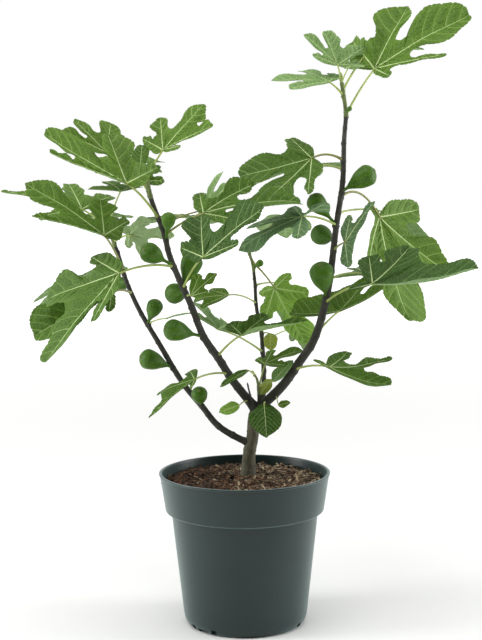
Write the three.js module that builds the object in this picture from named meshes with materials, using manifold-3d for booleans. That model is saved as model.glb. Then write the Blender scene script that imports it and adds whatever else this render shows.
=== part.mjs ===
// A young fig tree in its nursery pot: a short trunk that forks into four boughs, with shoots that
// carry lobed leaves and green figs. Millimetres, +Z up, origin at the middle of the pot's underside,
// +X to the right and +Y away from the side that is looked at.
import * as THREE from 'three';
import { mergeVertices } from 'three/addons/utils/BufferGeometryUtils.js';
import Module from 'manifold-3d';

const wasm = await Module();
wasm.setup();

const gap = 0.3; // clearance between neighbouring solids
const finest = 0.08; // smaller steps in a fused surface are dropped
const degree = Math.PI / 180;

// The moulded pot, a 5 litre nursery size.
const pot = {
  height: 188,
  rimRadius: 105,
  lipDrop: 2.4, // depth of the lip
  lipOverhang: 1.1,
  lipWidth: 3.4,
  collarHeight: 46,
  collarFoot: 97.5, // outer radius at the foot of the collar
  bodyTop: 90, // outer radius under the collar
  bodyFoot: 76,
  baseRadius: 70,
  cornerHeight: 10,
  wall: 2.2,
  floor: 3,
  sides: 44,
  // Three arches under the foot, with a drain hole through the corner either side of each.
  arches: { count: 3, turn: -135 * degree, inner: 60, width: 19, height: 4.5, roof: 2 },
  holes: { turn: 13.5 * degree, width: 7.5, height: 7 },
};

const soil = { level: 180, dip: 3, sides: 30 };

// Limbs: route points [x, y, z] from the crotch to the tip, radii there, and for the boughs the
// height at which the bare wood ends and the leafy shoot starts.
const trunk = {
  route: [[4, 8, soil.level], [6, 9, 207], [10, 10, 229], [12, 10, 252], [17, 10, 271]],
  base: 7.9,
  tip: 6.9,
  flare: 2.2, // added radius at the root flare
  flareHeight: 14,
  sides: 12,
  steps: 7,
  bunching: 1.4, // the rings stand closer together at the flare
  crownRise: 0.5, // a last, narrower ring rounds the top, in radii
  crown: 0.62,
};

const limbs = {
  left: {
    route: [
      [9, 10, 221], [-6, 10, 227], [-32, 12, 243], [-51, 15, 266], [-74, 18, 294], [-104, 24, 344],
      [-129, 30, 387], [-144, 35, 421], [-153, 38, 451], [-164, 42, 482], [-168, 43, 496],
    ],
    base: 4.3,
    tip: 2.3,
    bareTo: 396,
  },
  centre: {
    route: [
      [14, 9, 265], [-12, 0, 299], [-30, -10, 329], [-48, -20, 358], [-63, -31, 399], [-75, -38, 427],
      [-87, -44, 459], [-92, -47, 482], [-106, -52, 522], [-112, -54, 549],
    ],
    base: 5.6,
    tip: 2.6,
    bareTo: 399,
  },
  back: {
    route: [
      [18, 13, 262], [24, 21, 280], [25, 34, 301], [24, 52, 334], [22, 62, 357], [17, 75, 382],
      [15, 88, 416], [12, 96, 439], [7, 100, 452],
    ],
    base: 3.4,
    tip: 1.8,
    bareTo: 321,
  },
  right: {
    route: [
      [17, 9, 264], [34, 4, 280], [49, 1, 296], [67, -2, 322], [84, -5, 348], [95, -8, 379],
      [104, -12, 423], [112, -15, 488], [120, -13, 543], [122, -10, 593], [124, -8, 623], [119, -5, 661],
    ],
    base: 6.2,
    tip: 2.2,
    bareTo: 384,
  },
  young: {
    route: [[19, 6, 268], [18, 0, 288], [16, -10, 304], [12, -16, 312]],
    base: 2.3,
    tip: 1.2,
  },
  stub: {
    route: [[13, 5, 262], [8, -4, 282], [4, -9, 300]],
    base: 1.8,
    tip: 0.9,
  },
};

const petioleRule = {
  radius: 1.5,
  smallest: 0.45, // share of that radius for the smallest leaves
  growth: 160, // blade length over which the rest is added
  sides: 4,
  steps: 3,
  arch: 0.1, // of its length, where a leaf states no arch of its own
  taper: 0.25,
  end: 0.55,
  inset: 0.12, // how far it runs into the blade, of the blade's length
  longestInset: 7,
};

const limbRule = {
  taper: 0.85, // a limb is thin sooner than along a straight taper
  ringSpacing: 16,
  boughSides: 10,
  shootSides: 8,
};

const leafRule = {
  thickness: 0.013, // of the blade's length
  thinnest: 60, // shorter blades are as thick as one of this length
  notch: 0.5, // how far out the notches stand, of the shorter lobe
  closedNotch: 0.71, // the same between lobes that point the same way
  apart: 60, // degrees between lobes where the notches reach all the way in
  droop: 16, // degrees over the blade's length
  halfWidth: 0.21, // of the lobe's length
  fold: 0.3, // how steeply the halves of a lobe stand up from its vein
  widest: 0.7, // where a lobe is widest, of its length
  pastNotch: 0.14, // but at least so far beyond its notches
  lastWidest: 0.85,
  shoulder: 0.55, // from there to the tip
  shoulderWidth: 0.8,
  crowding: 0.9, // of the room between the veins of neighbouring lobes
  openTurn: 45, // that room in degrees where there is no neighbour
  veinStart: 0.4,
  outerTurn: 36, // degrees from the last lobe to the blade's corner beside the petiole
  outerReach: 0.34,
  outerLimit: 172,
  // Each lobe: degrees from the midrib, length of the blade's, half widths to the left and right of
  // the lobe's, and how steeply those halves fold up.
  lobes: [[110, 0.5], [52, 0.82], [0, 1], [-52, 0.82], [-110, 0.5]],
};

// Shorter blades have three lobes, and the youngest and those at the fork are whole.
const smallLeaf = { length: 50, lobes: [[58, 0.78], [0, 1], [-58, 0.78]] };
const wholeLeaf = { notches: [1.05, 1.05], lobes: [[62, 0.66], [0, 1, 0.3, 0.3], [-62, 0.66]] };

// A fig's outline: along its axis and out from it, in radii of the fig from its middle.
const figRule = {
  stalk: 1.6,
  thickestStalk: 0.34,
  sides: 8,
  neck: 1.75,
  body: [[-1.15, 0.42], [-0.6, 0.76], [-0.05, 0.98], [0.45, 0.9], [0.85, 0.42]],
};

// Leaves: the height where the petiole leaves its limb, the base of the blade, the blade's length, the
// midrib's compass turn and rise, the roll of the blade round it, and how far the notches stand out, of
// the shorter lobe, in millimetres and degrees.
const masses = {
  right_top_leaves: {
    limb: 'right', from: 592, to: 661,
    leaves: [
      { at: 620, base: [160, 10, 676], length: 127, turn: -1, rise: 38, roll: 35, droop: 11,
        notches: [0.55, 0.4, 0.49, 0.8],
        lobes: [[86, 0.66, 0.22, 0.13, 0.3, 1], [40, 0.87, 0.28, 0.13, 0.5, 0.2],
          [-7, 1.01, 0.27, 0.18, 0.5, 0], [-39, 0.73, 0.07, 0.05, -0.3, 0.3],
          [-78, 0.24, 0.22, 0.22, 0, 0.3]] },
      { at: 661, base: [115, 5, 681], length: 61, turn: 128, rise: 57, roll: -7,
        droop: 1, notches: [0.64, 0.48, 0.57, 0.52],
        lobes: [[61, 0.54, 0.22, 0.22, 0.3, 0], [30, 0.88, 0.2, 0.23, 0.5, 0.2],
          [-3, 0.81, 0.18, 0.28, 0.8, 0.5], [-65, 0.91, 0.23, 0.1, -0.3, 0.2],
          [-91, 0.6, 0.22, 0.22, 0.3, 0.3]] },
      { at: 659, base: [127, -20, 677], length: 24, turn: -50, rise: 5, roll: 10 },
      { at: 644, base: [104, -10, 660], length: 69, turn: 173, rise: 10, roll: -22,
        lobes: [[36, 0.77], [4, 1], [-47, 0.83], [-97, 0.57]] },
      { at: 650, base: [158, 52, 700], length: 86, turn: 65, rise: 14, roll: 0 },
    ],
    figs: [{ at: 625, centre: [128, -15, 628], width: 6 }],
  },
  right_upper_leaves: {
    limb: 'right', from: 448, to: 592,
    leaves: [
      { at: 567, base: [83, -15, 570], length: 98, turn: 166, rise: -5, roll: -38, droop: -1, arch: 0.3,
        notches: [0.49, 0.45, 0.59],
        lobes: [[92, 0.69, 0.1, 0.07, 0, -0.3], [59, 0.96, 0.22, 0.28, -0.3, 0],
          [16, 0.9, 0.27, 0.27, 0.1, 0.4], [-55, 0.55, 0.24, 0.17, 0.7, -0.2]] },
      { at: 524, base: [167, 18, 498], length: 133, turn: -62, rise: -69, roll: -17, droop: -20,
        arch: 0.5, notches: [0.57, 0.62, 0.62, 0.52],
        lobes: [[100, 0.55, 0.24, 0.24, 0.2, 0.2], [52, 0.86, 0.2, 0.26, 0.4, 0.3],
          [-5, 1.07, 0.33, 0.14, 0, -0.3], [-37, 0.66, 0.15, 0.1, -0.3, 0.4],
          [-133, 0.18, 0.22, 0.22, 0.3, 0.3]] },
      { at: 490, base: [69, -70, 503], length: 83, turn: -159, rise: -22, roll: -17, droop: 22,
        notches: [0.47, 0.48, 0.77, 0.25],
        lobes: [[52, 0.53, 0.21, 0.18, -0.3, -0.2], [-13, 1.01, 0.2, 0.16, -0.3, 0],
          [-45, 0.88, 0.13, 0.22, 0.3, -0.1], [-103, 0.49, 0.26, 0.15, 0.1, -0.3],
          [-165, 0.5, 0.32, 0.34, -0.1, -0.3]] },
      { at: 460, base: [121, -40, 471], length: 60, turn: -8, rise: 58, roll: 72, notches: [0.75, 0.4],
        lobes: [[24, 0.55, 0.2, 0.12], [0, 1, 0.07, 0.07], [-140, 0.5, 0.22, 0.25]] },
      { at: 556, base: [84, 45, 560], length: 105, turn: 140, rise: -8, roll: 0 },
      { at: 505, base: [205, 108, 492], length: 72, turn: 60, rise: -70, roll: 0,
        lobes: [[35, 0.8], [0, 1], [-35, 0.8]] },
    ],
    figs: [
      { at: 530, centre: [147, -22, 549], width: 26 },
      { at: 490, centre: [88, -22, 518], width: 23 },
      { at: 472, centre: [95, 15, 477], width: 25 },
    ],
  },
  right_lower_leaves: {
    limb: 'right', from: 384, to: 448,
    leaves: [
      { at: 397, base: [147, -112, 428], length: 124, turn: -24, rise: -3, roll: 30, droop: -22,
        notches: [0.72, 0.85, 0.5],
        lobes: [[112, 0.42, 0.25, 0.28, 0.3, 0.3], [70, 0.58, 0.32, 0.34, 0.3, 0.3],
          [4, 1.03, 0.2, 0.07, 0.1, 1.3], [-145, 0.22, 0.2, 0.2, 0.3, 0.3]] },
      { at: 425, base: [152, 58, 425], length: 90, turn: 42, rise: 14, roll: 0 },
    ],
    figs: [{ at: 402, centre: [94, -31, 434], width: 29 }],
  },
  centre_top_leaves: {
    limb: 'centre', from: 515, to: 549,
    leaves: [
      { at: 547, base: [-92, -50, 581], length: 74, turn: 28, rise: 56, roll: 20,
        droop: 8, notches: [0.54, 0.55, 0.74, 0.52],
        lobes: [[80, 0.61, 0.13, 0.13, -0.3, 0.7], [43, 0.73, 0.18, 0.18, 0.9, -0.1],
          [-13, 0.96, 0.19, 0.21, 0.1, -0.3], [-45, 0.91, 0.22, 0.16, -0.2, 0.7],
          [-63, 0.33, 0.22, 0.22, 0.3, 0.3]] },
      { at: 529, base: [-120, -48, 546], length: 48, turn: 96, rise: 62, roll: -9,
        lobes: [[50, 0.7], [-4, 1.05], [-53, 0.63], [-95, 0.61]] },
      { at: 535, base: [-160, -40, 579], length: 62, turn: 158, rise: 56, roll: -20, droop: 10,
        notches: [0.52, 0.53],
        lobes: [[44, 0.96, 0.3, 0.28, 0.3, 0.3], [13, 0.86, 0.28, 0.25, 0.3, -0.1],
          [-47, 0.84, 0.3, 0.25, 0.2, 0.4]] },
      { at: 540, base: [-140, 10, 562], length: 88, turn: 110, rise: 18, roll: 0 },
    ],
  },
  centre_upper_leaves: {
    limb: 'centre', from: 462, to: 515,
    leaves: [
      { at: 502, base: [-130, -120, 544], length: 107, turn: 179, rise: 34, roll: -35, droop: -2,
        notches: [0.69, 0.45, 0.53],
        lobes: [[21, 0.87, 0.06, 0.08, 1, 0.3], [7, 0.99, 0.16, 0.28, 0.4, 0],
          [-47, 0.7, 0.22, 0.26, 0.3, 0.8], [-107, 0.53, 0.17, 0.07, 1, -0.3]] },
      { at: 481, base: [-45, -79, 508], length: 105, turn: -3, rise: 17, roll: 40,
        droop: 26, notches: [0.5, 0.57, 0.52],
        lobes: [[90, 0.39, 0.23, 0.18, 0.3, 0.4], [30, 0.74, 0.17, 0.09, 0.9, -0.3],
          [1, 1.1, 0.17, 0.26, 0.3, 0.7], [-34, 0.49, 0.22, 0.22, 0.3, 0.3]] },
      { at: 492, base: [-44, -30, 510], length: 55, turn: 60, rise: 60, roll: -30 },
      { at: 500, base: [-70, 22, 500], length: 100, turn: 72, rise: 0, roll: 0 },
    ],
    figs: [{ at: 476, centre: [-86, -62, 501], width: 17 }],
  },
  centre_lower_leaves: {
    limb: 'centre', from: 399, to: 462,
    leaves: [
      { at: 418, base: [-45, -114, 460], length: 83, turn: -11, rise: 58, roll: 50, droop: 8,
        notches: [0.56, 0.56, 0.8],
        lobes: [[103, 0.56, 0.18, 0.2, -0.3, 0.9], [51, 0.67, 0.32, 0.25, 1.1, 0],
          [-21, 1.13, 0.29, 0.07, 0, -0.3], [-43, 0.63, 0.22, 0.18, 0, 1]] },
      { at: 408, base: [-61, -60, 411], length: 40, turn: -10, rise: 44, roll: 70,
        notches: [0.85, 0.85], lobes: [[28, 0.7, 0.3, 0.2], [0, 1, 0.25, 0.28], [-30, 0.55, 0.2, 0.2]] },
      { at: 444, base: [-140, -122, 443], length: 128, turn: 147, rise: -15, roll: -45, droop: 7,
        notches: [0.6, 0.64, 0.54],
        lobes: [[76, 0.52, 0.15, 0.17, 0.1, -0.2], [51, 1.02, 0.2, 0.16, 0.4, 0.3],
          [1, 0.89, 0.19, 0.17, 0.2, 0.7], [-37, 0.59, 0.1, 0.2, 0.6, -0.2]] },
    ],
    figs: [
      { at: 419, centre: [-61, -28, 447], width: 26 },
      { at: 413, centre: [-82, -14, 410], width: 25 },
      { at: 446, centre: [-108, -70, 462], width: 24 },
    ],
  },
  left_top_leaves: {
    limb: 'left', from: 458, to: 496,
    leaves: [
      { at: 489, base: [-148, 20, 532], length: 53, turn: 114, rise: 18, roll: -2,
        lobes: [[50, 0.8], [0, 1], [-52, 0.85]] },
      { at: 484, base: [-200, 60, 509], length: 112, turn: 163, rise: 17, roll: -21,
        lobes: [[50, 0.5, 0.1, 0.1], [-4, 1.06, 0.06, 0.06], [-51, 0.7, 0.17, 0.17],
          [-98, 0.6, 0.17, 0.17]] },
      { at: 469, base: [-138, 22, 479], length: 60, turn: -5, rise: 3, roll: -45,
        lobes: [[102, 0.4], [66, 0.8], [-3, 0.95], [-48, 0.7], [-126, 0.47]] },
      { at: 478, base: [-200, 104, 498], length: 92, turn: 95, rise: 5, roll: 0 },
    ],
  },
  left_lower_leaves: {
    limb: 'left', from: 396, to: 458,
    leaves: [
      { at: 435, base: [-163, -48, 482], length: 109, turn: 173, rise: 43, roll: -24, droop: 12,
        notches: [0.63, 0.38, 0.51],
        lobes: [[40, 0.85, 0.07, 0.08, 1, 0.3], [7, 1.02, 0.15, 0.17, -0.3, 0.5],
          [-55, 0.61, 0.24, 0.25, -0.2, 0.8], [-93, 0.59, 0.11, 0.08, 1.1, -0.3]] },
      { at: 406, base: [-156, -40, 413], length: 107, turn: -151, rise: -19, roll: -35,
        lobes: [[54, 0.28, 0.2, 0.2], [0, 1, 0.26, 0.3], [-48, 0.62, 0.2, 0.2]] },
      { at: 430, base: [-190, 92, 424], length: 105, turn: 150, rise: -25, roll: 0 },
    ],
    figs: [{ at: 421, centre: [-152, 52, 416], width: 18 }],
  },
  back_top_leaves: {
    limb: 'back', from: 376, to: 452,
    leaves: [
      { at: 388, base: [-18, 10, 405], length: 46, turn: 165, rise: -3, roll: -30,
        notches: [0.85, 0.85], lobes: [[30, 0.8, 0.2, 0.15], [0, 1, 0.2, 0.2], [-30, 0.7, 0.15, 0.2]] },
      { at: 439, base: [40, 78, 407], length: 71, turn: -27, rise: -49, roll: 34,
        droop: -11, notches: [0.65, 0.71, 0.68, 0.8],
        lobes: [[102, 0.45, 0.17, 0.23, -0.2, 0.7], [50, 0.64, 0.2, 0.24, 0.3, -0.3],
          [-13, 1.24, 0.28, 0.2, -0.2, 0.2], [-54, 0.73, 0.16, 0.2, 0.3, -0.3],
          [-98, 0.34, 0.22, 0.18, -0.3, 0.7]] },
      { at: 450, base: [53, 140, 496], length: 72, turn: 85, rise: -20, roll: 0,
        lobes: [[35, 0.8], [0, 1], [-35, 0.8]] },
      { at: 410, base: [53, 122, 408], length: 54, turn: 80, rise: -66, roll: 0,
        lobes: [[35, 0.8], [0, 1], [-35, 0.8]] },
    ],
    figs: [{ at: 432, centre: [22, 88, 438], width: 9 }],
  },
  back_lower_leaves: {
    limb: 'back', from: 321, to: 376,
    leaves: [
      { at: 329, base: [-31, 10, 363], length: 67, turn: 118, rise: 31, roll: 23,
        lobes: [[50, 0.6], [0, 1], [-51, 0.84]] },
      { at: 352, base: [34, 52, 352], length: 22, turn: -90, rise: -65, roll: 0, ...wholeLeaf },
      { at: 340, base: [76, 108, 354], length: 38, turn: 80, rise: -50, roll: 0,
        lobes: [[35, 0.8], [0, 1], [-35, 0.8]] },
    ],
  },
  young_shoot: {
    limb: 'young', from: 0, to: 400, clearOf: ['trunk', 'right', 'back', 'centre'],
    leaves: [
      { at: 290, base: [26, -5, 322], length: 50, turn: 10, rise: 25, roll: 20,
        lobes: [[100, 0.45], [52, 0.62], [0, 1], [-45, 0.6]] },
      { at: 311, base: [5, -25, 317], length: 40, turn: -160, rise: -20, roll: -15, ...wholeLeaf },
      { at: 286, base: [20, 8, 283], length: 24, turn: 20, rise: 50, roll: 60, ...wholeLeaf },
      { at: 294, base: [36, -8, 301], length: 36, turn: 20, rise: 50, roll: 20, ...wholeLeaf },
    ],
  },
};

// Leaves and figs that stand alone on a bare bough, each on its own petiole or stalk.
const singles = {
  right_low_leaf: {
    limb: 'right',
    leaves: [{ at: 314, base: [102, -50, 324], length: 81, turn: -34, rise: -28, roll: 0,
      droop: -25, notches: [0.52, 0.54, 0.52],
      lobes: [[101, 0.66, 0.21, 0.34, -0.3, 0.8], [70, 1.16, 0.07, 0.07, 0.6, 0.5],
        [17, 0.95, 0.21, 0.2, 0.5, 0], [-139, 0.27, 0.22, 0.22, 0.3, 0.3]] }],
  },
  right_mid_leaf: {
    limb: 'right',
    leaves: [{ at: 357, base: [118, 14, 384], length: 81, turn: 6, rise: 24, roll: 15,
      droop: -18, notches: [0.52, 0.52],
      lobes: [[146, 0.81, 0.22, 0.34, 0.3, 0.6], [37, 0.81, 0.2, 0.22, 0.4, 0.3],
        [-12, 0.91, 0.22, 0.07, 0.3, 0.4]] }],
  },
  centre_low_leaf: {
    limb: 'centre',
    leaves: [{ at: 332, base: [-2, -50, 363], length: 80, turn: 0, rise: 14, roll: 28, droop: 4,
      notches: [0.7, 0.7],
      lobes: [[110, 0.42, 0.3, 0.3, 0.3, 0.3], [40, 0.56, 0.3, 0.3, 0.3, 0.3],
        [0, 1, 0.12, 0.07, 0.2, 1.3]] }],
  },
  centre_front_leaf: {
    limb: 'centre',
    leaves: [{ at: 310, base: [-58, -60, 312], length: 72, turn: -160, rise: -31, roll: -6,
      notches: [0.5, 0.75, 0.5],
      lobes: [[50, 0.3, 0.1, 0.1], [-5, 0.98, 0.07, 0.09], [-46, 0.82, 0.1, 0.09],
        [-102, 0.5, 0.2, 0.2]] }],
  },
  centre_fig: {
    limb: 'centre',
    figs: [{ at: 358, centre: [-83, -38, 368], width: 26 }],
  },
  left_fig: {
    limb: 'left',
    figs: [{ at: 368, centre: [-108, 14, 391], width: 20 }],
    leaves: [{ at: 368, base: [-94, 8, 377], length: 32, turn: -15, rise: 20, roll: 0, ...wholeLeaf }],
  },
  left_low_fig: {
    limb: 'left',
    figs: [{ at: 315, centre: [-116, 10, 327], width: 25 }],
  },
  left_foot_fig: {
    limb: 'left',
    figs: [{ at: 268, centre: [-54, -5, 285], width: 20 }],
  },
  fork_leaf: {
    limb: 'right',
    leaves: [{ at: 272, base: [24, -30, 276], length: 40, turn: -75, rise: -68, roll: 0, ...wholeLeaf,
      notches: [1.05, 1.05, 1.05, 1.05],
      lobes: [[112, 0.56], [58, 0.72], [0, 1, 0.3, 0.3], [-58, 0.72], [-112, 0.56]] }],
  },
  fork_right_leaf: {
    limb: 'right',
    leaves: [{ at: 284, base: [42, -14, 272], length: 15, turn: -10, rise: 20, roll: 60, ...wholeLeaf }],
  },
  fork_left_leaf: {
    limb: 'centre',
    leaves: [{ at: 275, base: [-6, -22, 274], length: 26, turn: -170, rise: -15, roll: -60, ...wholeLeaf }],
  },
};

const finishes = {
  plastic: { color: '#3f4c4b', roughness: 0.45, metalness: 0 },
  soil: { color: '#50392a', roughness: 1, metalness: 0 },
  bark: { color: '#4a443a', roughness: 0.85, metalness: 0 },
  leaf: { color: '#4f7d38', roughness: 0.55, metalness: 0 },
};

function toSolid(geometry) {
  const bare = geometry.clone();
  bare.deleteAttribute('normal');
  bare.deleteAttribute('uv');
  const merged = mergeVertices(bare, 1e-4);
  return new wasm.Manifold(new wasm.Mesh({
    numProp: 3,
    vertProperties: merged.getAttribute('position').array,
    triVerts: new Uint32Array(merged.getIndex().array),
  }));
}

function toGeometry(solid) {
  const mesh = solid.getMesh();
  const geometry = new THREE.BufferGeometry();
  geometry.setAttribute('position', new THREE.BufferAttribute(mesh.vertProperties, 3));
  geometry.setIndex(new THREE.BufferAttribute(mesh.triVerts, 1));
  return geometry;
}

function geometryFrom(points, faces) {
  const geometry = new THREE.BufferGeometry();
  const flat = points.flatMap((point) => [point.x, point.y, point.z]);
  geometry.setAttribute('position', new THREE.Float32BufferAttribute(flat, 3));
  geometry.setIndex(faces.flat());
  return geometry;
}

// The largest of a solid's separate shells.
function mainShell(solid) {
  const shells = solid.decompose();
  return shells.reduce((best, shell) => (shell.volume() > best.volume() ? shell : best));
}

function fuse(solids) {
  const joined = solids.reduce((whole, piece) => whole.add(piece));
  return mainShell(joined.simplify(finest));
}

const vector = (values) => new THREE.Vector3(...values);

// A closed tube of given rings. Each ring is a centre, a radius and the tangent there.
function tube(rings, sides, footLevel) {
  const points = [];
  let across = new THREE.Vector3(0, -1, 0.01);
  for (const [index, ring] of rings.entries()) {
    const tangent = ring.tangent.clone().normalize();
    if (index === 0 && Math.abs(tangent.y) > 0.8) across = new THREE.Vector3(1, 0, 0);
    across.addScaledVector(tangent, -across.dot(tangent)).normalize();
    const side = new THREE.Vector3().crossVectors(tangent, across);
    for (let k = 0; k < sides; k++) {
      const angle = (2 * Math.PI * k) / sides;
      const point = ring.centre.clone();
      point.addScaledVector(across, ring.radius * Math.cos(angle));
      point.addScaledVector(side, ring.radius * Math.sin(angle));
      if (index === 0 && footLevel !== undefined) point.z = footLevel;
      points.push(point);
    }
  }
  const start = points.push(rings[0].centre.clone()) - 1;
  const end = points.push(rings[rings.length - 1].centre.clone()) - 1;
  if (footLevel !== undefined) points[start].z = footLevel;
  const faces = [];
  const last = (rings.length - 1) * sides;
  for (let k = 0; k < sides; k++) {
    const next = (k + 1) % sides;
    faces.push([start, next, k], [end, last + k, last + next]);
    for (let ring = 0; ring < last; ring += sides) {
      const [a, b] = [ring + k, ring + next];
      faces.push([a, b, b + sides], [a, b + sides, a + sides]);
    }
  }
  return toSolid(geometryFrom(points, faces));
}

const curves = Object.fromEntries(Object.entries({ trunk, ...limbs }).map(([name, limb]) => {
  const curve = new THREE.CatmullRomCurve3(limb.route.map(vector), false, 'centripetal');
  return [name, curve];
}));

// The share of a limb's length at which it reaches a height.
function shareAt(name, height) {
  let low = 0;
  let high = 1;
  for (let step = 0; step < 30; step++) {
    const middle = (low + high) / 2;
    if (curves[name].getPointAt(middle).z < height) low = middle;
    else high = middle;
  }
  return (low + high) / 2;
}

function limbRadius(limb, share) {
  return limb.base + (limb.tip - limb.base) * share ** limbRule.taper;
}

// A stretch of a limb between two shares of its length, grown by extra.
function limbStretch(name, from, to, sides, extra = 0) {
  const limb = limbs[name];
  const curve = curves[name];
  const stretch = (to - from) * curve.getLength();
  const steps = Math.max(2, Math.round(stretch / limbRule.ringSpacing));
  const rings = [];
  for (let step = 0; step <= steps; step++) {
    const share = from + ((to - from) * step) / steps;
    const ring = { centre: curve.getPointAt(share), tangent: curve.getTangentAt(share) };
    ring.radius = limbRadius(limb, share) + extra;
    rings.push(ring);
  }
  return tube(rings, sides);
}

function trunkSolid(extra = 0) {
  const { steps, bunching } = trunk;
  const rings = [];
  for (let step = 0; step <= steps; step++) {
    const share = (step / steps) ** bunching;
    const centre = curves.trunk.getPointAt(share);
    const flare = trunk.flare * Math.exp(-(centre.z - soil.level) / trunk.flareHeight);
    const radius = trunk.base + (trunk.tip - trunk.base) * share + flare + extra;
    rings.push({ centre, tangent: curves.trunk.getTangentAt(share), radius });
  }
  const top = rings[steps];
  const centre = top.centre.clone().addScaledVector(top.tangent, trunk.tip * trunk.crownRise + extra);
  rings.push({ centre, tangent: top.tangent, radius: top.radius * trunk.crown });
  return tube(rings, trunk.sides, extra > 0 ? soil.level - 5 : soil.level + gap);
}

// A curve from a limb's middle to a point beside it, leaving outward and arching a little.
function sideCurve(name, height, target, reach) {
  const start = curves[name].getPointAt(shareAt(name, height));
  const away = target.clone().sub(start);
  const bend = start.clone().addScaledVector(away, 0.5);
  bend.z += reach * away.length();
  return new THREE.QuadraticBezierCurve3(start, bend, target);
}

function petiole(leaf, name, midrib) {
  const base = vector(leaf.base);
  const curve = sideCurve(name, leaf.at, base, leaf.arch ?? petioleRule.arch);
  const radius = petioleRule.radius * Math.min(1, petioleRule.smallest + leaf.length / petioleRule.growth);
  const rings = [];
  for (let step = 0; step <= petioleRule.steps; step++) {
    const share = step / petioleRule.steps;
    const thin = radius * (1 - petioleRule.taper * share);
    rings.push({ centre: curve.getPoint(share), tangent: curve.getTangent(share), radius: thin });
  }
  const inset = Math.min(petioleRule.longestInset, leaf.length * petioleRule.inset);
  const inside = base.clone().addScaledVector(midrib, inset);
  rings.push({ centre: inside, tangent: midrib.clone(), radius: radius * petioleRule.end });
  return tube(rings, petioleRule.sides);
}

// The blade's own axes: along the midrib, to its left, and out of its upper face.
function leafAxes(leaf) {
  const turn = leaf.turn * degree;
  const rise = leaf.rise * degree;
  const roll = leaf.roll * degree;
  const midrib = new THREE.Vector3(Math.cos(turn), Math.sin(turn), Math.tan(rise)).normalize();
  const level = new THREE.Vector3(-Math.sin(turn), Math.cos(turn), 0);
  const upright = new THREE.Vector3().crossVectors(midrib, level);
  const left = level.clone().multiplyScalar(Math.cos(roll)).addScaledVector(upright, Math.sin(roll));
  const face = new THREE.Vector3().crossVectors(midrib, left);
  return { midrib, left, face };
}

// Carries a point of the flat blade, lifted out of its upper face, to its drooping place.
function bladePoint(leaf, axes, flat, lift) {
  const bend = ((leaf.droop ?? leafRule.droop) * degree) / leaf.length;
  const reach = flat.length();
  const out = reach > 0 ? flat.clone().multiplyScalar(1 / reach) : flat.clone();
  const span = Math.sin(bend * reach) * (1 / bend + lift);
  const height = (Math.cos(bend * reach) - 1) / bend + lift * Math.cos(bend * reach);
  return vector(leaf.base)
    .addScaledVector(axes.midrib, out.x * span)
    .addScaledVector(axes.left, out.y * span)
    .addScaledVector(axes.face, height);
}

// The measures of a leaf's lobes from left to right, the halves of each by their side: 1 is left.
function lobesOf(leaf) {
  const rows = leaf.lobes ?? (leaf.length < smallLeaf.length ? smallLeaf.lobes : leafRule.lobes);
  const { halfWidth, fold } = leafRule;
  return rows.map(([angle, share, wideLeft, wideRight, foldLeft, foldRight]) => ({
    angle,
    reach: share * leaf.length,
    wide: { 1: wideLeft ?? halfWidth, '-1': wideRight ?? halfWidth },
    fold: { 1: foldLeft ?? fold, '-1': foldRight ?? fold },
  }));
}

// The notch between two lobes, or beside the petiole the blade's own corner.
function notchBetween(leaf, index, before, after) {
  if (before && after) {
    const apart = before.angle - after.angle;
    const closeness = Math.max(0, 1 - apart / leafRule.apart);
    const usual = leafRule.notch + (leafRule.closedNotch - leafRule.notch) * closeness;
    const radius = (leaf.notches?.[index - 1] ?? usual) * Math.min(before.reach, after.reach);
    const slope = (before.fold['-1'] + after.fold[1]) / 2;
    const lift = slope * radius * Math.sin((apart / 2) * degree);
    return { angle: before.angle - apart / 2, radius, lift };
  }
  const outer = before ?? after;
  const side = before ? -1 : 1;
  const limit = leafRule.outerLimit;
  const angle = Math.max(-limit, Math.min(limit, outer.angle + side * leafRule.outerTurn));
  const radius = leafRule.outerReach * outer.reach;
  const turn = Math.abs(angle - outer.angle) * degree;
  return { angle, radius, lift: outer.fold[side] * radius * Math.sin(turn) };
}

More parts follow.
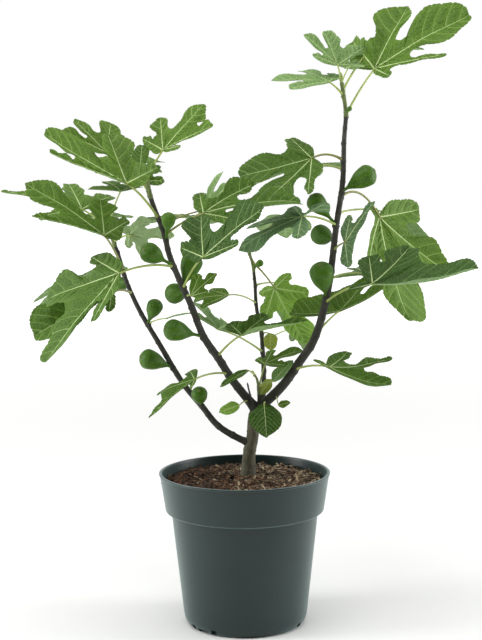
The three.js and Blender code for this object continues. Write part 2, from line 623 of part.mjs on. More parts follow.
// A lobed blade: each lobe is a strip either side of its vein, and neighbours share the line from
// the base to the notch between them. The margin is sharp and the veins are the thickest.
function leafBlade(leaf) {
  const axes = leafAxes(leaf);
  const lobes = lobesOf(leaf);
  const small = leaf.length < smallLeaf.length;
  const half = (leafRule.thickness * Math.max(leaf.length, leafRule.thinnest)) / 2;
  const origin = new THREE.Vector2();
  const points = [];
  const faces = [];
  const add = (flat, lift) => points.push(bladePoint(leaf, axes, flat, lift)) - 1;
  const addVein = (flat) => [add(flat, half), add(flat, -half)];
  const base = addVein(origin);

  const notches = [];
  for (let index = 0; index <= lobes.length; index++) {
    const notch = notchBetween(leaf, index, lobes[index - 1], lobes[index]);
    const flat = new THREE.Vector2(notch.radius, 0).rotateAround(origin, notch.angle * degree);
    notches.push({ flat, at: add(flat, notch.lift) });
  }

  for (const [index, { angle, reach, wide, fold }] of lobes.entries()) {
    const along = new THREE.Vector2(1, 0).rotateAround(origin, angle * degree);
    const left = new THREE.Vector2(0, 1).rotateAround(origin, angle * degree);
    const inner = [notches[index], notches[index + 1]].map((notch) => notch.flat.dot(along));
    const widest = Math.max(leafRule.widest * reach, Math.max(...inner) + leafRule.pastNotch * reach);
    const broad = Math.min(leafRule.lastWidest * reach, widest);
    const shoulder = broad + leafRule.shoulder * (reach - broad);
    const stations = [[broad, 1], [shoulder, leafRule.shoulderWidth]];
    const veins = [addVein(along.clone().multiplyScalar(leafRule.veinStart * reach))];
    const margins = { 1: [notches[index].at], '-1': [notches[index + 1].at] };
    for (const [at, share] of small ? stations.slice(1) : stations) {
      veins.push(addVein(along.clone().multiplyScalar(at)));
      for (const side of [1, -1]) {
        const other = lobes[index - side];
        const turn = other ? Math.abs(other.angle - angle) / 2 : leafRule.openTurn;
        const room = leafRule.crowding * Math.tan(turn * degree) * broad;
        const spread = share * Math.min(wide[side] * reach, room);
        const flat = along.clone().multiplyScalar(at).addScaledVector(left, side * spread);
        margins[side].push(add(flat, fold[side] * spread));
      }
    }
    const tip = add(along.clone().multiplyScalar(reach), 0);
    for (const layer of [0, 1]) {
      for (const side of [1, -1]) {
        const upward = (side === 1) === (layer === 0);
        const face = (a, b, c) => faces.push(upward ? [a, b, c] : [a, c, b]);
        const edge = margins[side];
        face(base[layer], veins[0][layer], edge[0]);
        for (let step = 0; step + 1 < veins.length; step++) {
          face(veins[step][layer], veins[step + 1][layer], edge[step + 1]);
          face(veins[step][layer], edge[step + 1], edge[step]);
        }
        face(veins[veins.length - 1][layer], tip, edge[edge.length - 1]);
      }
    }
  }
  faces.push([base[0], notches[0].at, base[1]]);
  faces.push([base[0], base[1], notches[lobes.length].at]);
  return toSolid(geometryFrom(points, faces));
}

// A pear-shaped fig whose neck tapers into its stalk.
function figSolid(fig, name) {
  const start = curves[name].getPointAt(shareAt(name, fig.at));
  const centre = vector(fig.centre);
  const axis = centre.clone().sub(start);
  const distance = axis.length();
  axis.normalize();
  const radius = fig.width / 2;
  const stalk = Math.min(figRule.stalk, radius * figRule.thickestStalk);
  const neck = Math.max(0.2 * distance, distance - figRule.neck * radius);
  const outline = [[0, stalk], [neck, stalk]];
  for (const [along, out] of figRule.body) {
    const last = outline[outline.length - 1][0];
    outline.push([Math.max(last + 0.15 * radius, distance + along * radius), out * radius]);
  }
  const rings = outline.map(([along, size]) => (
    { centre: start.clone().addScaledVector(axis, along), tangent: axis, radius: size }));
  return tube(rings, figRule.sides);
}

function pieces(mass) {
  const parts = [];
  for (const leaf of mass.leaves ?? []) {
    parts.push(petiole(leaf, mass.limb, leafAxes(leaf).midrib), leafBlade(leaf));
  }
  for (const fig of mass.figs ?? []) {
    parts.push(figSolid(fig, mass.limb));
  }
  return parts;
}

function turnedSolid(outline, sides) {
  const profile = outline.map(([radius, level]) => new THREE.Vector2(radius, level));
  const turned = new THREE.LatheGeometry(profile, sides);
  turned.rotateX(Math.PI / 2);
  return toSolid(turned);
}

// A block that reaches out from the pot's axis at an angle, from the ground or from a level up.
function radialBlock(inner, outer, width, bottom, top, angle) {
  const block = new THREE.BoxGeometry(outer - inner, width, top - bottom);
  block.translate((inner + outer) / 2, 0, (bottom + top) / 2);
  block.rotateZ(angle);
  return toSolid(block);
}

const archAngles = [];
for (let k = 0; k < pot.arches.count; k++) {
  archAngles.push(pot.arches.turn + (2 * Math.PI * k) / pot.arches.count);
}

// The roof that closes each arch inside the pot, grown by extra.
function archRoof(angle, extra = 0) {
  const { inner, width, height, roof } = pot.arches;
  const edge = pot.wall + extra;
  return radialBlock(inner - edge, pot.bodyFoot - 1, width + 2 * edge, 1, height + roof + extra, angle);
}

// The pot's wall and floor as one turned outline, with arches and drain holes cut in its foot.
function potSolid() {
  const { height, rimRadius, wall, floor, arches, holes } = pot;
  const collar = height - pot.collarHeight;
  const outside = [
    [0, 0],
    [pot.baseRadius - 1.5, 0],
    [pot.baseRadius, 0.8],
    [pot.baseRadius + 3.2, 3.4],
    [pot.bodyFoot, pot.cornerHeight],
    [pot.bodyTop, collar - 4],
    [pot.collarFoot - 1.5, collar - 1.2],
    [pot.collarFoot, collar + 1],
    [rimRadius - pot.lipOverhang, height - pot.lipDrop],
    [rimRadius, height - pot.lipDrop + 0.8],
    [rimRadius, height - 0.8],
    [rimRadius - 0.8, height],
  ];
  const inside = [
    [rimRadius - pot.lipWidth, height],
    [rimRadius - pot.lipWidth - 0.6, height - 1.2],
    [pot.collarFoot - wall, collar + 2],
    [pot.bodyTop - wall, collar - 4],
    [pot.bodyFoot - wall, pot.cornerHeight + 1],
    [pot.baseRadius, floor],
    [0, floor],
  ];
  let body = turnedSolid([...outside, ...inside], pot.sides);
  const whole = turnedSolid([...outside, [0, height]], pot.sides);
  for (const angle of archAngles) {
    body = body.add(archRoof(angle).intersect(whole));
  }
  const beyond = pot.bodyFoot + 5;
  for (const angle of archAngles) {
    body = body.subtract(radialBlock(arches.inner, beyond, arches.width, -1, arches.height, angle));
    for (const side of [-1, 1]) {
      const turn = angle + side * holes.turn;
      body = body.subtract(radialBlock(pot.baseRadius - 1, beyond, holes.width, -1, holes.height, turn));
    }
  }
  return mainShell(body);
}

// The soil fills the pot up to its level, a little lower along the wall.
function soilSolid() {
  const inside = pot.wall + gap;
  const collar = pot.height - pot.collarHeight;
  const rise = pot.collarHeight - 3.2;
  const slope = (pot.rimRadius - pot.lipWidth - 0.6 - pot.collarFoot + pot.wall) / rise;
  const edge = pot.collarFoot - inside + slope * (soil.level - soil.dip - collar - 2);
  const outline = [
    [0, pot.floor + gap],
    [pot.baseRadius - 1, pot.floor + gap],
    [pot.bodyFoot - inside, pot.cornerHeight + 1.5],
    [pot.bodyTop - inside, collar - 4],
    [pot.collarFoot - inside, collar + 2],
    [edge - 0.3, soil.level - soil.dip],
    [edge - 14, soil.level - 1.5],
    [30, soil.level],
    [0, soil.level],
  ];
  const drawnIn = outline.map(([radius, level]) => [radius * 0.995, level]);
  let body = turnedSolid(drawnIn, soil.sides);
  for (const angle of archAngles) {
    body = body.subtract(archRoof(angle, gap));
  }
  return mainShell(body);
}

const tree = new THREE.Group();

function addNode(name, solid, finish) {
  const mesh = new THREE.Mesh(toGeometry(solid), new THREE.MeshStandardMaterial(finishes[finish]));
  mesh.name = name;
  tree.add(mesh);
}

addNode('pot', potSolid(), 'plastic');
addNode('soil', soilSolid(), 'soil');
addNode('trunk', trunkSolid(), 'bark');

// Each bough is cut clear of the trunk and of the boughs that leave the fork before it.
const grown = { trunk: trunkSolid(gap) };
for (const name of ['left', 'right', 'centre', 'back', 'stub']) {
  const limb = limbs[name];
  const end = limb.bareTo ? shareAt(name, limb.bareTo) : 1;
  let bough = limbStretch(name, 0, end, limbRule.boughSides);
  for (const other of Object.values(grown)) {
    bough = bough.subtract(other);
  }
  addNode(name === 'stub' ? 'dead_stub' : `${name}_bough`, mainShell(bough), 'bark');
  grown[name] = limbStretch(name, 0, 1, limbRule.boughSides, gap);
}

for (const [name, mass] of Object.entries(masses)) {
  const length = curves[mass.limb].getLength();
  const start = mass.from > 0 ? shareAt(mass.limb, mass.from) + gap / length : 0;
  const stem = limbStretch(mass.limb, start, shareAt(mass.limb, mass.to), limbRule.shootSides);
  let solid = fuse([stem, ...pieces(mass)]);
  for (const other of mass.clearOf ?? []) {
    solid = solid.subtract(grown[other]);
  }
  addNode(name, mainShell(solid), 'leaf');
}

for (const [name, single] of Object.entries(singles)) {
  let solid = fuse(pieces(single));
  for (const other of Object.values(grown)) {
    solid = solid.subtract(other);
  }
  addNode(name, mainShell(solid), 'leaf');
}

export default tree;
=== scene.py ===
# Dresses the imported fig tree: bark with relief, veined leaves, ribbed figs, potting mix and a moulded pot.
# Lengths are millimetres in the frame of the part, unless a note or a name says otherwise.
import math
import random

import bpy
import numpy as np
from mathutils import Matrix, Vector, noise


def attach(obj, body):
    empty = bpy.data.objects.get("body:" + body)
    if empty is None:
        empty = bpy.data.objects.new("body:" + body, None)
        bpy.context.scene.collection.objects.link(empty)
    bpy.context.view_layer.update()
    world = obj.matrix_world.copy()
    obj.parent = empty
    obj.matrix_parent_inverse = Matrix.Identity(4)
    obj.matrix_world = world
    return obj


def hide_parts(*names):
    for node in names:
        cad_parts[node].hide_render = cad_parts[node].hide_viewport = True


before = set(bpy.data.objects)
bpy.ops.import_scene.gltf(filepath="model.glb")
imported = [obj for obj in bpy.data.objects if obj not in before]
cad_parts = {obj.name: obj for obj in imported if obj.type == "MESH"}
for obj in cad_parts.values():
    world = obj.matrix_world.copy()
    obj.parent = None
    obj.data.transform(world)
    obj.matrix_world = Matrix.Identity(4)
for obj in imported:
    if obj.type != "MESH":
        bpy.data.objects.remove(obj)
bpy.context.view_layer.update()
metre = 0.001  # one millimetre in metres


def linearColour(text):
    # an sRGB hex value as the linear colour that shaders take
    shares = [int(text[start : start + 2], 16) / 255 for start in (1, 3, 5)]
    linear = [share / 12.92 if share <= 0.04045 else ((share + 0.055) / 1.055) ** 2.4 for share in shares]
    return (*linear, 1.0)


def addNode(tree, kind, inputs=None, feeds=None, stops=(), **settings):
    # a node with its settings, the values or links of its inputs, the sockets that its outputs feed,
    # and for a ramp the place and colour of each stop
    node = tree.nodes.new(kind)
    for name, value in settings.items():
        setattr(node, name, value)
    for socket, value in (inputs or {}).items():
        if isinstance(value, bpy.types.NodeSocket):
            tree.links.new(value, node.inputs[socket])
        else:
            node.inputs[socket].default_value = value
    for socket, target in (feeds or {}).items():
        tree.links.new(node.outputs[socket], target)
    for number, (place, colour) in enumerate(stops):
        node.color_ramp.elements[number].position = place
        node.color_ramp.elements[number].color = linearColour(colour)
    return node


def newFinish(name, colour, roughness, constants=None):
    # a material with its shader's own values set, its tree, and the shader's inputs
    material = bpy.data.materials.new(name)
    material.use_nodes = True
    tree = material.node_tree
    sockets = tree.nodes["Principled BSDF"].inputs
    sockets["Base Color"].default_value = linearColour(colour)
    sockets["Roughness"].default_value = roughness
    for socket, value in {"IOR": 1.45, **(constants or {})}.items():
        sockets[socket].default_value = value
    return material, tree, sockets


def placeCoordinates(tree, scale=(1, 1, 1)):
    # places on the part in metres, stretched by scale
    coordinates = addNode(tree, "ShaderNodeTexCoord")
    mapping = addNode(tree, "ShaderNodeMapping", {"Vector": coordinates.outputs["Object"], "Scale": scale})
    return mapping.outputs["Vector"]


def grainyFinish(name, colour, roughness, grain, detail=2, constants=None, stretch=(1, 1, 1), **more):
    # a finish with a fine relief; grain is its width and depth in millimetres and how strongly it shows
    material, tree, sockets = newFinish(name, colour, roughness, constants)
    width, depth, strength = grain
    relief = addNode(tree, "ShaderNodeTexNoise", {
        "Vector": placeCoordinates(tree, stretch), "Scale": 1 / (width * metre), "Detail": detail, **more})
    addNode(tree, "ShaderNodeBump", {
        "Height": relief.outputs["Fac"], "Strength": strength, "Distance": depth * metre,
    }, {"Normal": sockets["Normal"]})
    return material, tree, sockets, relief.outputs["Fac"]


def spotColours(tree, sockets, base, height, spots, mask, light):
    # colours that follow a height, the darker one low down as painted shade in the hollows, and over them the
    # light one where spots turns the mask to white
    ground = addNode(tree, "ShaderNodeValToRGB", {"Fac": height}, stops=base)
    cover = addNode(tree, "ShaderNodeValToRGB", {"Fac": mask}, stops=spots)
    # for colours, a mix node's socket 0 is the share, 6 and 7 are the two colours, and 2 is the result
    addNode(tree, "ShaderNodeMix", {
        0: cover.outputs["Color"], 6: ground.outputs["Color"], 7: linearColour(light),
    }, {2: sockets["Base Color"]}, data_type="RGBA")


print("camera, lights and floor")

viewpoint = {
    "place": (-2.8, -1780, 574),
    "lookDown": 6.37,  # degrees below level
    "roll": -0.47,
    "sensorHeight": 36,
    "lens": 82.9,
    "farthest": 60,  # metres
}
lighting = {
    "sky": "#ffffff",
    "skyStrength": (0.06, 1.0),  # in front of the plant and behind it
    "skyBlend": (-0.7, 0.25),  # where one passes into the other, from -1 in front to 1 behind
    # name: place, aim, width and height in metres, and watts
    "boxes": {
        "left softbox": ((-2.0, -0.3, 1.0), (0, 0, 0.3), 0.8, 1.7, 30),
        "right softbox": ((2.0, 0.0, 0.8), (0, 0, 0.25), 0.8, 1.6, 27),
        "overhead softbox": ((-0.3, -0.8, 2.3), (0, 0, 0.45), 1.3, 1.1, 23),
    },
}
board = {
    "half": 14.0,  # metres from the middle to an edge
    "colour": "#eeeeec",
    "roughness": 0.75,
    "grain": (3.33, 0.3, 0.05),  # a roller's stipple, drawn coarser so that it shows
    "brighter": (0.5, 4.0),  # metres from the plant between which the board's painted glow rises
    # strength of the painted glow at its farthest
    "brightest": 0.6,
}


def placeCamera():
    down, roll = math.radians(viewpoint["lookDown"]), math.radians(viewpoint["roll"])
    forward = Vector((0, math.cos(down), -math.sin(down)))
    level = Vector((1, 0, 0))
    above = level.cross(forward)
    right = level * math.cos(roll) + above * math.sin(roll)
    up = above * math.cos(roll) - level * math.sin(roll)
    data = bpy.data.cameras.new("camera")
    data.sensor_fit = "VERTICAL"
    data.sensor_height = viewpoint["sensorHeight"]
    data.lens = viewpoint["lens"]
    data.clip_end = viewpoint["farthest"]
    camera = bpy.data.objects.new("camera", data)
    bpy.context.scene.collection.objects.link(camera)
    turned = Matrix((right, up, -forward)).transposed().to_4x4()
    camera.matrix_world = Matrix.Translation(Vector(viewpoint["place"]) * metre) @ turned
    bpy.context.scene.camera = camera


def lightSky():
    world = bpy.data.worlds.new("studio")
    bpy.context.scene.world = world
    world.use_nodes = True
    tree = world.node_tree
    background = tree.nodes["Background"]
    background.inputs["Color"].default_value = linearColour(lighting["sky"])
    # white paper behind and at the sides, a dimmer room in front
    directions = addNode(tree, "ShaderNodeTexCoord")
    parts = addNode(tree, "ShaderNodeSeparateXYZ", {"Vector": directions.outputs["Generated"]})
    front, back = lighting["skyStrength"]
    start, end = lighting["skyBlend"]
    strength = addNode(tree, "ShaderNodeMapRange", {
        "Value": parts.outputs["Y"], "From Min": start, "From Max": end, "To Min": front, "To Max": back,
    }, interpolation_type="SMOOTHSTEP")
    # the paper itself looks the same white from every side
    rays = addNode(tree, "ShaderNodeLightPath")
    addNode(tree, "ShaderNodeMath", {0: strength.outputs["Result"], 1: rays.outputs["Is Camera Ray"]},
            {"Value": background.inputs["Strength"]}, operation="MAXIMUM")
    bpy.context.scene.view_settings.view_transform = "Standard"


def placeSoftboxes():
    for name, (place, aim, width, height, watts) in lighting["boxes"].items():
        data = bpy.data.lights.new(name, "AREA")
        data.shape = "RECTANGLE"
        data.size, data.size_y, data.energy = width, height, watts
        lamp = bpy.data.objects.new(name, data)
        lamp.location = place
        lamp.rotation_euler = (Vector(aim) - Vector(place)).to_track_quat("-Z", "Y").to_euler()
        bpy.context.scene.collection.objects.link(lamp)


def paintedBoard():
    # matt painted board: pale, with a faint roller texture, and a painted glow away from the plant
    material, tree, sockets, _ = grainyFinish(
        "painted studio board", board["colour"], board["roughness"], board["grain"])
    # it glows ever more away from the plant, painted light of its own, until it meets the white paper behind
    away = addNode(tree, "ShaderNodeVectorMath", {0: placeCoordinates(tree)}, operation="LENGTH")
    near, far = board["brighter"]
    addNode(tree, "ShaderNodeMapRange", {
        "Value": away.outputs["Value"], "From Min": near, "From Max": far, "To Max": board["brightest"],
    }, {"Result": sockets["Emission Strength"]}, interpolation_type="SMOOTHSTEP")
    sockets["Emission Color"].default_value = linearColour(lighting["sky"])
    return material


def layFloor():
    half = board["half"]
    mesh = bpy.data.meshes.new("floor")
    corners = [(-half, -half, 0), (half, -half, 0), (half, half, 0), (-half, half, 0)]
    mesh.from_pydata(corners, [], [(0, 1, 2, 3)])
    mesh.materials.append(paintedBoard())
    floor = bpy.data.objects.new("floor", mesh)
    bpy.context.scene.collection.objects.link(floor)


placeCamera()
lightSky()
placeSoftboxes()
layFloor()


class Heap:
    # gathers many small meshes, each face with its tone, and makes one object of them
    def __init__(self):
        self.points, self.faces, self.tones, self.count = [], [], [], 0

    def add(self, points, faces, tone):
        points, faces = np.asarray(points, float), np.asarray(faces, int)
        self.points.append(points)
        self.faces.append(faces + self.count)
        self.tones.append(np.broadcast_to(np.asarray(tone, int), len(faces)))
        self.count += len(points)

    def build(self, name, finishes, sharpAngle=50):
        points = np.concatenate(self.points) * metre
        faces, tones = np.concatenate(self.faces), np.concatenate(self.tones)
        mesh = bpy.data.meshes.new(name)
        mesh.vertices.add(len(points))
        mesh.vertices.foreach_set("co", points.ravel().astype(np.float32))
        mesh.loops.add(faces.size)
        mesh.loops.foreach_set("vertex_index", faces.ravel().astype(np.int32))
        mesh.polygons.add(len(faces))
        mesh.polygons.foreach_set("loop_start", np.arange(0, faces.size, 3, dtype=np.int32))
        mesh.update(calc_edges=True)
        mesh.polygons.foreach_set("use_smooth", np.ones(len(faces), bool))
        mesh.set_sharp_from_angle(angle=math.radians(sharpAngle))
        used = np.unique(tones)
        mesh.polygons.foreach_set("material_index", np.searchsorted(used, tones).astype(np.int32))
        for tone in used:
            mesh.materials.append(finishes[tone])
        piece = bpy.data.objects.new(name, mesh)
        bpy.context.scene.collection.objects.link(piece)
        print(f"  {name}: {len(faces)} triangles")
        return piece


def gridFaces(rings, sides):
    # triangles between rings of points
    faces = []
    for ring in range(rings - 1):
        for side in range(sides):
            a, b = ring * sides + side, ring * sides + (side + 1) % sides
            faces += [(a, b, b + sides), (a, b + sides, a + sides)]
    return np.array(faces)


def closeRings(rings, start, end):
    # a closed mesh from rings of points and the middles of its two ends
    count, sides = rings.shape[:2]
    points = np.vstack([rings.reshape(-1, 3), start, end])
    side = np.arange(sides)
    after = (side + 1) % sides
    last = (count - 1) * sides
    startCap = np.stack([np.full(sides, len(points) - 2), after, side], 1)
    endCap = np.stack([np.full(sides, len(points) - 1), last + side, last + after], 1)
    return points, np.concatenate([gridFaces(count, sides), startCap, endCap])


def spokesAlong(centres, sides):
    # the direction of a curve at each ring, and the directions of the ring's sides
    tangents = np.gradient(centres, axis=0)
    tangents /= np.linalg.norm(tangents, axis=1)[:, None]
    across = np.array([1.0, 0.0, 0.0]) if abs(tangents[0, 1]) > 0.8 else np.array([0.0, -1.0, 0.01])
    angles = np.arange(sides) * 2 * math.pi / sides
    spokes = []
    for tangent in tangents:
        across = across - tangent * np.dot(across, tangent)
        across /= np.linalg.norm(across)
        side = np.cross(tangent, across)
        spokes.append(np.outer(np.cos(angles), across) + np.outer(np.sin(angles), side))
    return tangents, np.array(spokes)


def tubeMesh(centres, radii, sides):
    # a round tube; radii is one for each ring, or one for each ring and side
    centres = np.asarray(centres, float)
    reach = np.reshape(radii, (len(centres), -1, 1))
    return closeRings(centres[:, None] + spokesAlong(centres, sides)[1] * reach, centres[0], centres[-1])


def hermiteCurve(knots, startPull, endPull, steps):
    # a smooth curve through knots that leaves and arrives along the two pulls
    knots = np.asarray(knots, float)
    pulls = [np.asarray(startPull, float), *(knots[2:] - knots[:-2]) / 2, np.asarray(endPull, float)]
    share = np.linspace(0, 1, steps, endpoint=False)[:, None]
    stretches = [
        (2 * share**3 - 3 * share**2 + 1) * start + (share**3 - 2 * share**2 + share) * leave
        + (3 * share**2 - 2 * share**3) * end + (share**3 - share**2) * arrive
        for start, end, leave, arrive in zip(knots, knots[1:], pulls, pulls[1:])]
    return np.vstack([*stretches, knots[-1:]])


def lengthsAlong(curve):
    return np.concatenate([[0], np.cumsum(np.linalg.norm(np.diff(curve, axis=0), axis=1))])


def pointsAt(curve, lengths):
    along = lengthsAlong(curve)
    return np.stack([np.interp(lengths, along, curve[:, axis]) for axis in range(curve.shape[1])], 1)


def turnFlat(points, angle):
    # points turned about the upright axis
    turned = points.copy()
    turned[:, 0] = points[:, 0] * math.cos(angle) - points[:, 1] * math.sin(angle)
    turned[:, 1] = points[:, 0] * math.sin(angle) + points[:, 1] * math.cos(angle)
    return turned


# corners in the order of x, y and z, the last changing first
boxFaces = np.array([
    (0, 1, 3), (0, 3, 2), (4, 6, 7), (4, 7, 5), (0, 4, 5), (0, 5, 1),
    (2, 3, 7), (2, 7, 6), (0, 2, 6), (0, 6, 4), (1, 5, 7), (1, 7, 3)])

print("limbs")

soilLevel = 180

# Points along each limb from its crotch to its tip, the radii at those two ends, and the height at which
# old wood gives way to this year's shoot.
limbs = {
    "trunk": {
        "route": [(4, 8, 180), (6, 9, 207), (10, 10, 229), (12, 10, 252), (17, 10, 271)],
        "base": 7.9, "tip": 6.9, "shootFrom": 999, "flare": 2.2, "flareHeight": 14,
    },
    "left": {
        "route": [
            (9, 10, 221), (-6, 10, 227), (-32, 12, 243), (-51, 15, 266), (-74, 18, 294), (-104, 24, 344),
            (-129, 30, 387), (-144, 35, 421), (-153, 38, 451), (-164, 42, 482), (-168, 43, 496),
        ],
        "base": 4.3, "tip": 2.3, "shootFrom": 462,
    },
    "centre": {
        "route": [
            (14, 9, 265), (-12, 0, 299), (-30, -10, 329), (-48, -20, 358), (-63, -31, 399), (-75, -38, 427),
            (-87, -44, 459), (-92, -47, 482), (-106, -52, 522), (-112, -54, 549),
        ],
        "base": 5.6, "tip": 2.6, "shootFrom": 524,
    },
    "back": {
        "route": [
            (18, 13, 262), (24, 21, 280), (25, 34, 301), (24, 52, 334), (22, 62, 357), (17, 75, 382),
            (15, 88, 416), (12, 96, 439), (7, 100, 452),
        ],
        "base": 3.4, "tip": 1.8, "shootFrom": 425,
    },
    "right": {
        "route": [
            (17, 9, 264), (34, 4, 280), (49, 1, 296), (67, -2, 322), (84, -5, 348), (95, -8, 379),
            (104, -12, 423), (112, -15, 488), (120, -13, 543), (122, -10, 593), (124, -8, 623),
            (119, -5, 661),
        ],
        "base": 6.2, "tip": 2.2, "shootFrom": 618,
    },
    "young": {
        "route": [(19, 6, 268), (18, 0, 288), (16, -10, 304), (12, -16, 312)],
        "base": 2.3, "tip": 1.2, "shootFrom": 283,
    },
    "stub": {"route": [(13, 5, 262), (8, -4, 282), (4, -9, 300)], "base": 1.8, "tip": 0.9, "shootFrom": 999},
}


def throughRoute(route, steps=40):
    # centripetal Catmull-Rom curve through the route's points
    points = np.asarray(route, float)
    ends = np.vstack([2 * points[0] - points[1], points, 2 * points[-1] - points[-2]])
    share = np.linspace(0, 1, steps, endpoint=False)[:, None]
    stretches = []
    for before, start, end, after in zip(ends, ends[1:], ends[2:], ends[3:]):
        gaps = [np.linalg.norm(b - a) ** 0.5 for a, b in ((before, start), (start, end), (end, after))]
        leave = (start - before) / gaps[0] - (end - before) / (gaps[0] + gaps[1]) + (end - start) / gaps[1]
        arrive = (end - start) / gaps[1] - (after - start) / (gaps[1] + gaps[2]) + (after - end) / gaps[2]
        leave, arrive = leave * gaps[1], arrive * gaps[1]
        stretches.append(
            start + leave * share + (3 * (end - start) - 2 * leave - arrive) * share**2
            + (2 * (start - end) + leave + arrive) * share**3)
    return np.vstack([*stretches, points[-1:]])


curves = {name: throughRoute(limb["route"]) for name, limb in limbs.items()}


def limbPoint(name, height):
    # where a limb's middle reaches a height
    curve = curves[name]
    return pointsAt(curve, [np.interp(height, curve[:, 2], lengthsAlong(curve))])[0]


def limbRadii(name, shares, heights):
    limb = limbs[name]
    if name == "trunk":
        flare = limb["flare"] * np.exp(-(heights - soilLevel) / limb["flareHeight"])
        return limb["base"] + (limb["tip"] - limb["base"]) * shares + flare
    return limb["base"] + (limb["tip"] - limb["base"]) * shares**0.85  # a bough is stoutest near its foot


def leafAt(at, base, length, turn, rise, roll, tone, lobes=None, notches=None, **more):
    # the height where its petiole leaves the limb, the foot and length of its blade, the midrib's compass
    # turn and rise, the blade's roll round it, its tone, and its own lobes and notches where it has them
    leaf = dict(at=at, base=base, length=length, turn=turn, rise=rise, roll=roll, tone=tone)
    return {**leaf, "lobes": lobes, "notches": notches, **more}


def figAt(at, centre, width):
    # the height where its stalk leaves the limb, its middle and its width
    return dict(at=at, centre=centre, width=width)


